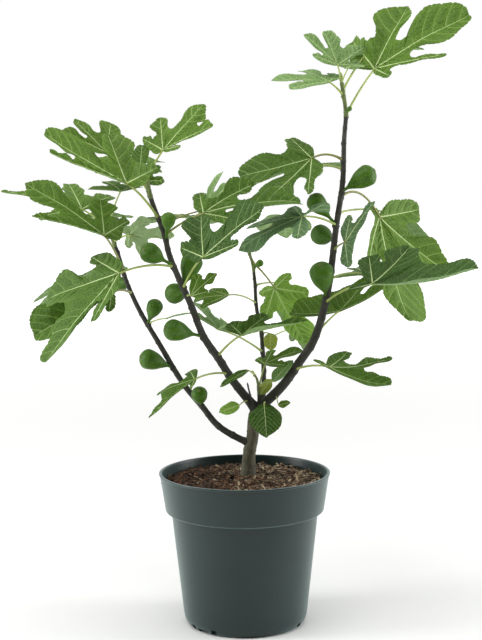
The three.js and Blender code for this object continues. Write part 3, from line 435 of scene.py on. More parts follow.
# Nodes of leaves and figs, and the limb that bears them. A lobe is its degrees from the midrib, its length as
# a share of the blade's, its half widths to the left and right as shares of its own length, and how steeply
# those halves fold up from its vein. Notches are shares of the shorter lobe beside them. A whole leaf has no
# lobes, and its number is its half width. Arch lifts the petiole's middle, and droop is the blade's bend in
# degrees. What a row leaves out has the usual value in bladeRule or petiole.
masses = {
    "right_top_leaves": {"limb": "right", "leaves": [
        leafAt(620, (160, 10, 676), 127, -1, 38, 35, "fresh", [
            (86, 0.66, 0.22, 0.13, 0.3, 1), (40, 0.87, 0.28, 0.13, 0.5, 0.2),
            (-7, 1.01, 0.27, 0.18, 0.5, 0), (-39, 0.73, 0.07, 0.05, -0.3), (-78, 0.24, 0.22, 0.22, 0),
        ], [0.55, 0.4, 0.49, 0.8], droop=11),
        leafAt(661, (115, 5, 681), 61, 128, 57, -7, "pale", [
            (61, 0.54, 0.22, 0.22, 0.3, 0), (30, 0.88, 0.2, 0.23, 0.5, 0.2),
            (-3, 0.81, 0.18, 0.28, 0.8, 0.5), (-65, 0.91, 0.23, 0.1, -0.3, 0.2), (-91, 0.6, 0.22, 0.22),
        ], [0.64, 0.48, 0.57, 0.52], droop=1),
        leafAt(659, (127, -20, 677), 24, -50, 5, 10, "pale"),
        leafAt(644, (104, -10, 660), 69, 173, 10, -22, "pale", [
            (36, 0.77), (4, 1), (-47, 0.83), (-97, 0.57)]),
        leafAt(650, (158, 52, 700), 86, 65, 14, 0, "mid"),
    ], "figs": [figAt(625, (128, -15, 628), 6)]},
    "right_upper_leaves": {"limb": "right", "leaves": [
        leafAt(567, (83, -15, 570), 98, 166, -5, -38, "mid", [
            (92, 0.69, 0.1, 0.07, 0, -0.3), (59, 0.96, 0.22, 0.28, -0.3, 0),
            (16, 0.9, 0.27, 0.27, 0.1, 0.4), (-55, 0.55, 0.24, 0.17, 0.7, -0.2),
        ], [0.49, 0.45, 0.59], arch=0.3, droop=-1),
        leafAt(524, (167, 18, 498), 133, -62, -69, -17, "fresh", [
            (100, 0.55, 0.24, 0.24, 0.2, 0.2), (52, 0.86, 0.2, 0.26, 0.4),
            (-5, 1.07, 0.33, 0.14, 0, -0.3), (-37, 0.66, 0.15, 0.1, -0.3, 0.4), (-133, 0.18, 0.22, 0.22),
        ], [0.57, 0.62, 0.62, 0.52], arch=0.5, droop=-20),
        leafAt(490, (69, -70, 503), 83, -159, -22, -17, "grey", [
            (52, 0.53, 0.21, 0.18, -0.3, -0.2), (-13, 1.01, 0.2, 0.16, -0.3, 0),
            (-45, 0.88, 0.13, 0.22, 0.3, -0.1), (-103, 0.49, 0.26, 0.15, 0.1, -0.3),
            (-165, 0.5, 0.32, 0.34, -0.1, -0.3)], [0.47, 0.48, 0.77, 0.25], droop=22),
        leafAt(460, (121, -40, 471), 60, -8, 58, 72, "grey", [
            (24, 0.55, 0.2, 0.12), (0, 1, 0.07, 0.07), (-140, 0.5, 0.22, 0.25)], [0.75, 0.4]),
        leafAt(556, (84, 45, 560), 105, 140, -8, 0, "mid"),
        leafAt(505, (205, 108, 492), 72, 60, -70, 0, "fresh", [(35, 0.8), (0, 1), (-35, 0.8)]),
    ], "figs": [
        figAt(530, (147, -22, 549), 26), figAt(490, (88, -22, 518), 23), figAt(472, (95, 15, 477), 25)
    ]},
    "right_lower_leaves": {"limb": "right", "leaves": [
        leafAt(397, (147, -112, 428), 124, -24, -3, 30, "deep", [
            (112, 0.42, 0.25, 0.28), (70, 0.58, 0.32, 0.34), (4, 1.03, 0.2, 0.07, 0.1, 1.3),
            (-145, 0.22, 0.2, 0.2)], [0.72, 0.85, 0.5], droop=-22),
        leafAt(425, (152, 58, 425), 90, 42, 14, 0, "mid"),
    ], "figs": [figAt(402, (94, -31, 434), 29)]},
    "right_low_leaf": {"limb": "right", "leaves": [
        leafAt(314, (102, -50, 324), 81, -34, -28, 0, "mid", [
            (101, 0.66, 0.21, 0.34, -0.3, 0.8), (70, 1.16, 0.07, 0.07, 0.6, 0.5),
            (17, 0.95, 0.21, 0.2, 0.5, 0), (-139, 0.27, 0.22, 0.22)], [0.52, 0.54, 0.52], droop=-25),
    ]},
    "right_mid_leaf": {"limb": "right", "leaves": [
        leafAt(357, (118, 14, 384), 81, 6, 24, 15, "fresh", [
            (146, 0.81, 0.22, 0.34, 0.3, 0.6), (37, 0.81, 0.2, 0.22, 0.4),
            (-12, 0.91, 0.22, 0.07, 0.3, 0.4)], [0.52, 0.52], droop=-18),
    ]},
    "fork_leaf": {"limb": "right", "leaves": [
        leafAt(272, (24, -30, 276), 40, -75, -68, 0, "deep", whole=0.5),
    ]},
    "fork_right_leaf": {"limb": "right", "leaves": [
        leafAt(284, (42, -14, 272), 15, -10, 20, 60, "fresh", whole=0.34),
    ]},
    "centre_top_leaves": {"limb": "centre", "leaves": [
        leafAt(547, (-92, -50, 581), 74, 28, 56, 20, "fresh", [
            (80, 0.61, 0.13, 0.13, -0.3, 0.7), (43, 0.73, 0.18, 0.18, 0.9, -0.1),
            (-13, 0.96, 0.19, 0.21, 0.1, -0.3), (-45, 0.91, 0.22, 0.16, -0.2, 0.7),
            (-63, 0.33, 0.22, 0.22)], [0.54, 0.55, 0.74, 0.52], droop=8),
        leafAt(529, (-120, -48, 546), 48, 96, 62, -9, "mid", [
            (50, 0.7), (-4, 1.05), (-53, 0.63), (-95, 0.61)]),
        leafAt(535, (-160, -40, 579), 62, 158, 56, -20, "fresh", [
            (44, 0.96, 0.3, 0.28), (13, 0.86, 0.28, 0.25, 0.3, -0.1), (-47, 0.84, 0.3, 0.25, 0.2, 0.4),
        ], [0.52, 0.53], droop=10),
        leafAt(540, (-140, 10, 562), 88, 110, 18, 0, "fresh"),
    ]},
    "centre_upper_leaves": {"limb": "centre", "leaves": [
        leafAt(502, (-130, -120, 544), 107, 179, 34, -35, "fresh", [
            (21, 0.87, 0.06, 0.08, 1), (7, 0.99, 0.16, 0.28, 0.4, 0), (-47, 0.7, 0.22, 0.26, 0.3, 0.8),
            (-107, 0.53, 0.17, 0.07, 1, -0.3)], [0.69, 0.45, 0.53], droop=-2),
        leafAt(481, (-45, -79, 508), 105, -3, 17, 40, "mid", [
            (90, 0.39, 0.23, 0.18, 0.3, 0.4), (30, 0.74, 0.17, 0.09, 0.9, -0.3),
            (1, 1.1, 0.17, 0.26, 0.3, 0.7), (-34, 0.49, 0.22, 0.22)], [0.5, 0.57, 0.52], droop=26),
        leafAt(492, (-44, -30, 510), 55, 60, 60, -30, "pale"),
        leafAt(500, (-70, 22, 500), 100, 72, 0, 0, "mid"),
    ], "figs": [figAt(476, (-86, -62, 501), 17)]},
    "centre_lower_leaves": {"limb": "centre", "leaves": [
        leafAt(418, (-45, -114, 460), 83, -11, 58, 50, "deep", [
            (103, 0.56, 0.18, 0.2, -0.3, 0.9), (51, 0.67, 0.32, 0.25, 1.1, 0),
            (-21, 1.13, 0.29, 0.07, 0, -0.3), (-43, 0.63, 0.22, 0.18, 0, 1)], [0.56, 0.56, 0.8], droop=8),
        leafAt(408, (-61, -60, 411), 40, -10, 44, 70, "fresh", [
            (28, 0.7, 0.3, 0.2), (0, 1, 0.25, 0.28), (-30, 0.55, 0.2, 0.2)], [0.85, 0.85]),
        leafAt(444, (-140, -122, 443), 128, 147, -15, -45, "mid", [
            (76, 0.52, 0.15, 0.17, 0.1, -0.2), (51, 1.02, 0.2, 0.16, 0.4),
            (1, 0.89, 0.19, 0.17, 0.2, 0.7), (-37, 0.59, 0.1, 0.2, 0.6, -0.2),
        ], [0.6, 0.64, 0.54], droop=7),
    ], "figs": [
        figAt(419, (-61, -28, 447), 26), figAt(413, (-82, -14, 410), 25), figAt(446, (-108, -70, 462), 24)
    ]},
    "centre_low_leaf": {"limb": "centre", "leaves": [
        leafAt(332, (-2, -50, 363), 80, 0, 14, 28, "mid", [
            (110, 0.42, 0.3, 0.3), (40, 0.56, 0.3, 0.3), (0, 1, 0.12, 0.07, 0.2, 1.3),
        ], [0.7, 0.7], droop=4),
    ]},
    "centre_front_leaf": {"limb": "centre", "leaves": [
        leafAt(310, (-58, -60, 312), 72, -160, -31, -6, "mid", [
            (50, 0.3, 0.1, 0.1), (-5, 0.98, 0.07, 0.09), (-46, 0.82, 0.1, 0.09), (-102, 0.5, 0.2, 0.2),
        ], [0.5, 0.75, 0.5]),
    ]},
    "centre_fig": {"limb": "centre", "figs": [figAt(358, (-83, -38, 368), 26)]},
    "fork_left_leaf": {"limb": "centre", "leaves": [
        leafAt(275, (-6, -22, 274), 26, -170, -15, -60, "glow", whole=0.3),
    ]},
    "left_top_leaves": {"limb": "left", "leaves": [
        leafAt(489, (-148, 20, 532), 53, 114, 18, -2, "fresh", [(50, 0.8), (0, 1), (-52, 0.85)]),
        leafAt(484, (-200, 60, 509), 112, 163, 17, -21, "fresh", [
            (50, 0.5, 0.1, 0.1), (-4, 1.06, 0.06, 0.06), (-51, 0.7, 0.17, 0.17), (-98, 0.6, 0.17, 0.17)]),
        leafAt(469, (-138, 22, 479), 60, -5, 3, -45, "pale", [
            (102, 0.4), (66, 0.8), (-3, 0.95), (-48, 0.7), (-126, 0.47)]),
        leafAt(478, (-200, 104, 498), 92, 95, 5, 0, "mid"),
    ]},
    "left_lower_leaves": {"limb": "left", "leaves": [
        leafAt(435, (-163, -48, 482), 109, 173, 43, -24, "fresh", [
            (40, 0.85, 0.07, 0.08, 1), (7, 1.02, 0.15, 0.17, -0.3, 0.5),
            (-55, 0.61, 0.24, 0.25, -0.2, 0.8), (-93, 0.59, 0.11, 0.08, 1.1, -0.3),
        ], [0.63, 0.38, 0.51], droop=12),
        leafAt(406, (-156, -40, 413), 107, -151, -19, -35, "mid", [
            (54, 0.28, 0.2, 0.2), (0, 1, 0.26, 0.3), (-48, 0.62, 0.2, 0.2)]),
        leafAt(430, (-190, 92, 424), 105, 150, -25, 0, "mid"),
    ], "figs": [figAt(421, (-152, 52, 416), 18)]},
    "left_fig": {"limb": "left", "leaves": [
        leafAt(368, (-94, 8, 377), 32, -15, 20, 0, "pale", whole=0.28),
    ], "figs": [figAt(368, (-108, 14, 391), 20)]},
    "left_low_fig": {"limb": "left", "figs": [figAt(315, (-116, 10, 327), 25)]},
    "left_foot_fig": {"limb": "left", "figs": [figAt(268, (-54, -5, 285), 20)]},
    "back_top_leaves": {"limb": "back", "leaves": [
        leafAt(388, (-18, 10, 405), 46, 165, -3, -30, "fresh", [
            (30, 0.8, 0.2, 0.15), (0, 1, 0.2, 0.2), (-30, 0.7, 0.15, 0.2)], [0.85, 0.85]),
        leafAt(439, (40, 78, 407), 71, -27, -49, 34, "glow", [
            (102, 0.45, 0.17, 0.23, -0.2, 0.7), (50, 0.64, 0.2, 0.24, 0.3, -0.3),
            (-13, 1.24, 0.28, 0.2, -0.2, 0.2), (-54, 0.73, 0.16, 0.2, 0.3, -0.3),
            (-98, 0.34, 0.22, 0.18, -0.3, 0.7)], [0.65, 0.71, 0.68, 0.8], droop=-11),
        leafAt(450, (53, 140, 496), 72, 85, -20, 0, "fresh", [(35, 0.8), (0, 1), (-35, 0.8)]),
        leafAt(410, (53, 122, 408), 54, 80, -66, 0, "mid", [(35, 0.8), (0, 1), (-35, 0.8)]),
    ], "figs": [figAt(432, (22, 88, 438), 9)]},
    "back_lower_leaves": {"limb": "back", "leaves": [
        leafAt(329, (-31, 10, 363), 67, 118, 31, 23, "pale", [(50, 0.6), (0, 1), (-51, 0.84)]),
        leafAt(352, (34, 52, 352), 22, -90, -65, 0, "yellow", whole=0.42),
        leafAt(340, (76, 108, 354), 38, 80, -50, 0, "mid", [(35, 0.8), (0, 1), (-35, 0.8)]),
    ]},
    "young_shoot": {"limb": "young", "leaves": [
        leafAt(290, (26, -5, 322), 50, 10, 25, 20, "fresh", [
            (100, 0.45), (52, 0.62), (0, 1), (-45, 0.6)]),
        leafAt(311, (5, -25, 317), 40, -160, -20, -15, "mid", whole=0.2),
        leafAt(286, (20, 8, 283), 24, 20, 50, 60, "yellow", whole=0.3),
        leafAt(294, (36, -8, 301), 36, 20, 50, 20, "pale", whole=0.3),
    ]},
}

bark = {
    "ringStep": 1.3,
    "sides": 28,
    "wrinkle": {"trunk": 0.3, "others": 0.14},  # height of the lengthwise wrinkles
    "nodeSpacing": (15, 26),  # between leaf scars on old wood
    "nodeRoom": 9,  # no scar is nearer than this to a leaf or a fig
    # height, place along the limb from the node, width along it, and how far round it reaches
    "ring": (0.38, -1.0, 0.9),
    "swelling": (1.0, -1.2, 2.6, 0.28),
    "dent": (0.7, -0.9, 1.3, 0.1),  # where a leaf has fallen
    "lenticels": 0.36,  # for each millimetre of limb
    "lenticelHeight": (0.18, 0.34),
    "collar": (1.5, 9),  # swelling at a bough's foot, and how far it runs
    "buried": 6,  # how far the trunk's foot goes into the potting mix
    # base colour, darker colour in the wrinkles as painted shade, colour of the pale patches, roughness
    "trunk": ("#605f4c", "#474435", "#77765f", 0.82),
    "bough": ("#38362f", "#292823", "#4c4a41", 0.72),
    "shoot": ("#6c7a41", "#4c5a2e", "#8a955c", 0.58),
    "grain": (3.85, 0.5, 0.5),  # of the widest wrinkles, with finer ones between them
    "patch": 14.3,  # width of a pale patch
}
# limb: length and radius of the bud at its tip
buds = {"right": (13, 2.6), "centre": (12, 2.6), "left": (11, 2.4), "back": (9, 2.0), "young": (6, 1.3)}


def nodesOn(name):
    # where leaves, figs and old scars stand on a limb: distance along it, direction, and whether it is a scar
    curve = curves[name]
    along = lengthsAlong(curve)
    found = []
    for mass in [mass for mass in masses.values() if mass["limb"] == name]:
        for growth in mass.get("leaves", []) + mass.get("figs", []):
            target = np.asarray(growth.get("base") or growth["centre"], float)
            distance = np.interp(growth["at"], curve[:, 2], along)
            found.append((distance, target - limbPoint(name, growth["at"]), False))
    draw = random.Random("scars " + name)
    distance = draw.uniform(8, 14)
    turn = draw.uniform(0, 6.28)
    while distance < along[-1] - 6 and name != "stub":
        if all(abs(distance - taken[0]) > bark["nodeRoom"] for taken in found):
            found.append((distance, np.array([math.cos(turn), math.sin(turn), 0.0]), True))
        distance += draw.uniform(*bark["nodeSpacing"])
        turn += 2.4 + draw.uniform(-0.4, 0.4)  # a fig tree's leaves stand about 137 degrees apart
    return found


def hump(values, middle, width):
    # 1 at the middle, and falling away smoothly on both sides
    return np.exp(-(((values - middle) / width) ** 2))


def nodeRelief(name, distances, tangents, spokes):
    # the ring and the swelling under each leaf, and the dented scar where one has fallen
    relief = np.zeros(spokes.shape[:2])
    for distance, direction, scar in nodesOn(name):
        ring = int(np.argmin(np.abs(distances - distance)))
        outward = direction - tangents[ring] * np.dot(direction, tangents[ring])
        outward /= max(np.linalg.norm(outward), 1e-6)
        facing = np.clip(spokes[ring] @ outward, -1, 1)
        reach = (distances - distance)[:, None]
        height, place, width = bark["ring"]
        relief += height * hump(reach, place, width)
        for form, sign in (("swelling", 1), ("dent", -scar)):
            height, place, width, spread = bark[form]
            relief += sign * height * hump(reach, place, width) * hump(facing, 1, spread)
    return relief


def addWrinkles(relief, name, radii, distances, centres, spokes):
    height = bark["wrinkle"]["trunk" if name == "trunk" else "others"]
    for ring, side in np.ndindex(relief.shape):  # stretched along the limb, and finer over coarser
        place = Vector(spokes[ring, side] * radii[ring, side] * 0.55) + Vector((0, 0, distances[ring] * 0.07))
        relief[ring, side] += height * noise.fractal(place * 1.6, 1.0, 2.0, 3)
        relief[ring, side] += height * 0.7 * noise.noise(Vector(centres[ring] + spokes[ring, side] * 6) * 0.2)


def growLimb(heap, name):
    curve = curves[name]
    whole = lengthsAlong(curve)[-1]
    rings, sides = max(8, round(whole / bark["ringStep"])), bark["sides"]
    distances = np.linspace(0, whole, rings)
    centres = pointsAt(curve, distances)
    radii = limbRadii(name, distances / whole, centres[:, 2])[:, None] * np.ones(sides)
    tangents, spokes = spokesAlong(centres, sides)
    relief = nodeRelief(name, distances, tangents, spokes)
    addWrinkles(relief, name, radii, distances, centres, spokes)
    draw = random.Random("lenticels " + name)
    for _ in range(int(whole * bark["lenticels"])):
        ring, side = draw.randrange(2, rings - 2), draw.randrange(sides)
        relief[ring, side] += draw.uniform(*bark["lenticelHeight"])
    if name not in ("trunk", "stub"):
        swell, run = bark["collar"]
        relief += (swell * limbs[name]["base"] / 5 * hump(distances, 0, run))[:, None]
    closing = np.clip((whole - distances) / 3.0, 0.12, 1) ** 0.5  # the tip is rounded off over 3 mm
    if name == "trunk":
        centres[0, 2] -= bark["buried"]
    points, faces = tubeMesh(centres, (radii + relief) * closing[:, None], sides)
    heights = centres[np.minimum(faces.min(axis=1) // sides, rings - 1), 2]
    heap.add(points, faces, np.where(heights > limbs[name]["shootFrom"], 2, 0 if name == "trunk" else 1))


def addBud(heap, name):
    # a pointed bud wrapped in its stipule, with a slight twist
    length, radius = buds[name]
    tip, before = curves[name][-1], curves[name][-8]
    direction = (tip - before) / np.linalg.norm(tip - before)
    steps, sides = 12, 12
    shares = np.linspace(0, 1, steps)
    centres = tip - (tip - before) * 0.3 + np.outer(shares * length, direction)
    centres[:, 0] += 0.06 * length * shares**2
    radii = radius * np.sin(np.clip(0.55 + shares * 2.6, 0, math.pi)) ** 0.8 + 0.05
    angles = np.arange(sides) * 2 * math.pi / sides
    folds = 1 + 0.1 * np.cos(angles[None, :] * 2 + shares[:, None] * 2.5)
    heap.add(*tubeMesh(centres, radii[:, None] * folds, sides), 3)


def barkFinish(kind):
    # fig bark is smooth and thin, with fine lengthwise wrinkles, painted shade in their hollows, and pale
    # patches: matt, and less so on shoots
    main, shade, light, roughness = bark[kind]
    material, tree, sockets, wrinkles = grainyFinish(
        f"fig bark {kind}", main, roughness, bark["grain"], 5, stretch=(1, 1, 0.35), Roughness=0.6)
    cloud = addNode(tree, "ShaderNodeTexNoise", {
        "Vector": placeCoordinates(tree), "Scale": 1 / (bark["patch"] * metre), "Detail": 3})
    # the wrinkles' hollows take the darker colour: painted shade
    spotColours(tree, sockets, ((0.34, shade), (0.66, main)), wrinkles,
                ((0.56, "#000000"), (0.85, "#ffffff")), cloud.outputs["Fac"], light)
    return material


limbHeap = Heap()
for name in limbs:
    growLimb(limbHeap, name)
for name in buds:
    addBud(limbHeap, name)
barkFinishes = [barkFinish(kind) for kind in ("trunk", "bough", "shoot")]
limbPiece = limbHeap.build("limbs", [*barkFinishes, newFinish("fig bud scale", "#8a9a52", 0.5)[0]])
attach(limbPiece, "root")
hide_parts("trunk", "left_bough", "right_bough", "centre_bough", "back_bough", "dead_stub")

print("leaves")

bladeRule = {
    "thickness": 0.42,
    "notch": 0.5,  # how far out the notches stand, of the shorter lobe
    "notchRound": 0.36,
    "droop": 16,  # degrees over the blade's length
    "halfWidth": 0.21,
    "fold": 0.3,
    "wholeFold": 0.18,  # of a leaf without lobes
    "widest": 0.7,  # where a lobe is widest, of its length
    "shoulder": (0.55, 0.8),  # share of the way from there to its tip, and of its width
    "toe": (0.8, 0.42),  # share of the way from the shoulder to its tip, and of its width
    "room": 0.9,  # how much of the space up to the next lobe it may fill
    "endLobe": (36, 172, 0.34),  # degrees round to its foot, degrees at most, and how far out that lies
    "lobes": [(110, 0.5), (52, 0.82), (0, 1), (-52, 0.82), (-110, 0.5)],
    "smallLobes": [(58, 0.78), (0, 1), (-58, 0.78)],
    "small": 50,  # shorter blades have the small lobes
    "veinSpacing": 0.095,  # between side veins, of the blade's length
    "sideVein": 0.55,  # width, a little over a real one's so that it shows
    "mainVein": (1.0, 0.34),  # half widths at the blade's base and at a lobe's tip, for a 110 mm blade
    "groove": (0.22, 0.1),  # how deep the main and side veins lie in the upper side
    "rib": ((1.3, 0.3), 0.35),  # how far the main ones, at base and tip, and the side ones stand out below
    "scallop": 1.25,  # depth of a tooth
    "wave": 0.02,  # of the margin, of a lobe's length
    "pucker": 0.01,  # how far the blade bulges between side veins, of its length
    "ripples": ((0.02, 0, 2.3), (0.012, 9, 1.7)),  # height of its length, waves outward and round
    "veinLean": 0.95,  # how far a side vein runs forward while it runs out by one
    "columns": 5,
    "curveSteps": 14,
}

# upper side, underside
leafTones = {
    "fresh": ("#507216", "#7f9d62"),
    "mid": ("#446612", "#77965c"),
    "deep": ("#304f10", "#6f8f5a"),
    # grey paints sheen: a paler, greyer copy that stands in for light given back by the hairs
    "grey": ("#5b7a50", "#819c78"),
    # glow is painted light: a brighter copy that stands in for light shining through the blade
    "glow": ("#7fa63c", "#a3c068"),
    "yellow": ("#a3b048", "#adb062"),
    "pale": ("#7b9d5a", "#94ae7a"),
}
toneNames = list(leafTones)
veinColours = {"upper": "#bccf92", "underside": "#a3b884", "side": "#b9cf93", "between": "#24401a"}

leafNet = {
    "hairlines": 2.2,  # spacing of the finest veins
    "upper": (0.55, 0.22),  # roughness, and depth of the hairlines
    "underside": (0.7, 0.3),
    "cushions": 4.6,  # width of a cushion, and below how high it is
    "quilting": 1.2,
    "edge": 0.55,  # width of its pale edge, and below how pale that is
    "strength": 0.17,
}


def between(first, second, share):
    # a hex colour part of the way from one to the other
    pairs = [(int(first[at : at + 2], 16), int(second[at : at + 2], 16)) for at in (1, 3, 5)]
    return "#" + "".join(f"{round(a + (b - a) * share):02x}" for a, b in pairs)


def leafSkin(name, colour, face):
    # the net of the finest veins: a hairline relief, and between them cushions edged in a paler green
    roughness, depth = leafNet[face]
    material, tree, sockets = newFinish(name, colour, roughness, {"IOR": 1.3})
    place = placeCoordinates(tree)
    hairlines, cushions = [
        addNode(tree, "ShaderNodeTexVoronoi", {"Vector": place, "Scale": 1 / (leafNet[width] * metre)},
                feature="DISTANCE_TO_EDGE").outputs["Distance"]
        for width in ("hairlines", "cushions")]
    relief = addNode(tree, "ShaderNodeBump", {
        "Height": hairlines, "Strength": 0.6, "Distance": depth * metre})
    addNode(tree, "ShaderNodeBump", {
        "Height": cushions, "Strength": 0.7, "Distance": leafNet["quilting"] * metre,
        "Normal": relief.outputs["Normal"],
    }, {"Normal": sockets["Normal"]})
    edge = between(colour, veinColours["side"], leafNet["strength"])
    addNode(tree, "ShaderNodeValToRGB", {"Fac": cushions}, {"Color": sockets["Base Color"]},
            stops=((0, edge), (leafNet["edge"] / leafNet["cushions"], colour)))
    return material


def leafFinishes():
    # a fig leaf is rough with short stiff hairs over a fine net of veins: matt green, paler and downy beneath
    skins, sideVeins, fields = [], [], []
    for name, (upper, under) in leafTones.items():
        skins.append(leafSkin(f"fig leaf {name} upper", upper, "upper"))
        skins.append(leafSkin(f"fig leaf {name} underside", under, "underside"))
        vein, field = between(upper, veinColours["side"], 0.52), between(upper, veinColours["between"], 0.16)
        sideVeins.append(newFinish(f"fig leaf {name} side vein", vein, 0.5)[0])
        fields.append(leafSkin(f"fig leaf {name} between veins", field, "upper"))
    upperVein = newFinish("fig leaf vein upper", veinColours["upper"], 0.5)[0]
    lowerVein = newFinish("fig leaf vein underside", veinColours["underside"], 0.6)[0]
    return [*skins, *sideVeins, *fields, upperVein, lowerVein]


def bladeTones(name):
    # where leafFinishes has a leaf's upper side, underside, main vein above and below, side vein, and the
    # field between side veins
    tone, count = toneNames.index(name), len(toneNames)
    return np.array([2 * tone, 2 * tone + 1, 4 * count, 4 * count + 1, 2 * count + tone, 3 * count + tone])


def leafAxes(leaf):
    # the ways that the midrib, the blade's left and its upper side point
    turn, rise, roll = (math.radians(leaf[key]) for key in ("turn", "rise", "roll"))
    midrib = np.array([math.cos(rise) * math.cos(turn), math.cos(rise) * math.sin(turn), math.sin(rise)])
    level = np.array([-math.sin(turn), math.cos(turn), 0.0])
    left = level * math.cos(roll) + np.cross(midrib, level) * math.sin(roll)
    return midrib, left, np.cross(midrib, left)


def lobesOf(leaf):
    # every lobe in full, with the usual value for what the leaf leaves out
    rule = bladeRule
    if "whole" in leaf:
        return [(0, 1, leaf["whole"], leaf["whole"], rule["wholeFold"], rule["wholeFold"])]
    usual = (0, 1, rule["halfWidth"], rule["halfWidth"], rule["fold"], rule["fold"])
    lobes = leaf["lobes"] or rule["smallLobes" if leaf["length"] < rule["small"] else "lobes"]
    return [(*lobe, *usual[len(lobe):]) for lobe in lobes]


def wholeMargin(reach, wide):
    # half an oval blade, from its base to its tip
    knots = np.array([
        (0, 0), (0.03, 0.45 * wide), (0.3, wide), (0.66, 0.86 * wide), (0.9, 0.42 * wide), (1, 0)])
    pulls = np.array([(-0.1, 0.5 * wide), (0.12, -0.35 * wide)])
    return hermiteCurve(knots * reach, *(pulls * reach), bladeRule["curveSteps"])


def lobeMargin(leaf, lobes, index, side):
    # half a lobe, from its notch or the blade's base to its tip; the notch and how far out that is; and where
    # the lobe is widest
    rule = bladeRule
    angle, share = lobes[index][:2]
    wide = lobes[index][2 if side == 1 else 3]
    reach = share * leaf["length"]
    other = index - side
    inner = 0 <= other < len(lobes)
    if inner:
        apart = abs(lobes[other][0] - angle)
        half = math.radians(apart / 2)
        if leaf["notches"]:
            out = leaf["notches"][min(index, other)]
        else:
            out = rule["notch"] + 0.6 * (0.85 - rule["notch"]) * max(0, 1 - apart / 60)
        out *= min(share, lobes[other][1]) * leaf["length"]
        room = math.tan(half) * rule["room"]
    else:
        opening, most, out = rule["endLobe"]
        half = math.radians(abs(max(-most, min(most, angle + side * opening)) - angle))
        out *= reach
        room = rule["room"]
    notch = np.array([math.cos(half), math.sin(half)]) * out
    widest = min(0.85 * reach, max(rule["widest"] * reach, notch[0] + 0.14 * reach))
    broad = min(wide * reach, room * widest)
    shoulder = widest + rule["shoulder"][0] * (reach - widest)
    toe = shoulder + rule["toe"][0] * (reach - shoulder)
    knots = [notch, (widest, broad), (shoulder, rule["shoulder"][1] * broad), (toe, rule["toe"][1] * broad),
             (reach, 0)]
    if inner:
        start = np.array([math.sin(half), -math.cos(half)]) * min(rule["notchRound"] * reach, 3 * notch[1])
    else:
        knots.insert(0, (0, 0))
        start = np.array([-0.25, 1.0]) * notch[1]
    margin = hermiteCurve(knots, start, (0.01 * reach, -0.7 * broad), rule["curveSteps"])
    return margin, notch, out, widest


def stretchRows(length, spacing, cells, veinWidth):
    # rows along a stretch of edge: distance, whether a side vein starts there, and place between two of them
    count = max(1, round(length / spacing))
    width = length / count
    rows = []
    for index in range(count):
        start = length * index / count
        inset = min(veinWidth * (1 if index % 2 else 0.6), 0.2 * width) if index else 0.0
        rows.append((start, index > 0, 0.0))
        if index:
            rows.append((start + inset, False, 0.0))
        for cell in range(1, cells):
            share = cell / cells
            rows.append((start + max(inset * 1.2, share * width), False, share))
    return rows


def toothedEdge(margin, rows, reach, scale, draw):
    # the margin's points at the rows, moved out and in by the teeth and a long wave
    length = lengthsAlong(margin)[-1]
    distances = np.array([row[0] for row in rows])
    wave = draw.uniform(0, 6.28)
    ahead = pointsAt(margin, np.minimum(distances + 0.4, length))
    slope = ahead - pointsAt(margin, np.maximum(distances - 0.4, 0))
    normal = np.stack([-slope[:, 1], slope[:, 0]], 1)
    normal /= np.maximum(np.linalg.norm(slope, axis=1), 1e-6)[:, None]
    if normal[len(normal) // 2, 1] < 0:
        normal = -normal
    edge = []
    for place, out, (distance, _, phase) in zip(pointsAt(margin, distances), normal, rows):
        share = distance / length
        tooth = bladeRule["scallop"] * scale * (abs(math.sin(2 * math.pi * phase)) - 0.6)
        tooth *= draw.uniform(0.6, 1.3)
        tooth += bladeRule["wave"] * reach * math.sin(11 * share + wave) * min(1, share / 0.3)
        fade = min(1, share / 0.15) * min(1, (1 - share) / 0.06)
        edge.append(place + out * tooth * fade)
    return edge


def gridBetween(edge, reach, scale):
    # points from a lobe's vein to its edge: x along the vein, y out from it, and the shares of the way; each
    # row's foot lies back from its end, and its first point stands beside the vein
    rule = bladeRule
    feet = np.clip(edge[:, 0] - rule["veinLean"] * edge[:, 1], 0, None)
    feet = np.maximum.accumulate(feet + np.arange(len(feet)) * 1e-3)
    feet *= reach / feet[-1]
    feet[0] = 0
    spans = np.hypot(edge[:, 0] - feet, edge[:, 1])
    veinHalf = np.interp(feet / reach, (0, 1), rule["mainVein"]) * scale
    first = np.minimum(veinHalf / np.maximum(spans, 1e-3), 0.4)[:, None]
    steps = np.linspace(0, 1, rule["columns"] + 1)[None, :]
    shares = np.concatenate([np.zeros((len(edge), 1)), first + (1 - first) * steps], 1)
    x = feet[:, None] + (edge[:, 0] - feet)[:, None] * shares**1.5
    return x, edge[:, 1][:, None] * shares, shares


def veinRelief(x, shares, reach, scale, narrow):
    # how deep the veins lie in the upper side, and how far they stand out below
    main = np.zeros_like(x)
    main[:, 0], main[:, 1] = 1.0, 0.35
    veins = narrow | np.roll(narrow, 1)
    veins[0] = narrow[0]
    fine = veins[:, None] * np.clip(1.1 - shares, 0, 1)
    mainGroove, fineGroove = bladeRule["groove"]
    depths, fineRib = bladeRule["rib"]
    groove = main * mainGroove * scale + fine * fineGroove * scale
    return groove, main * np.interp(x / reach, (0, 1), depths) * scale + fine * fineRib * scale


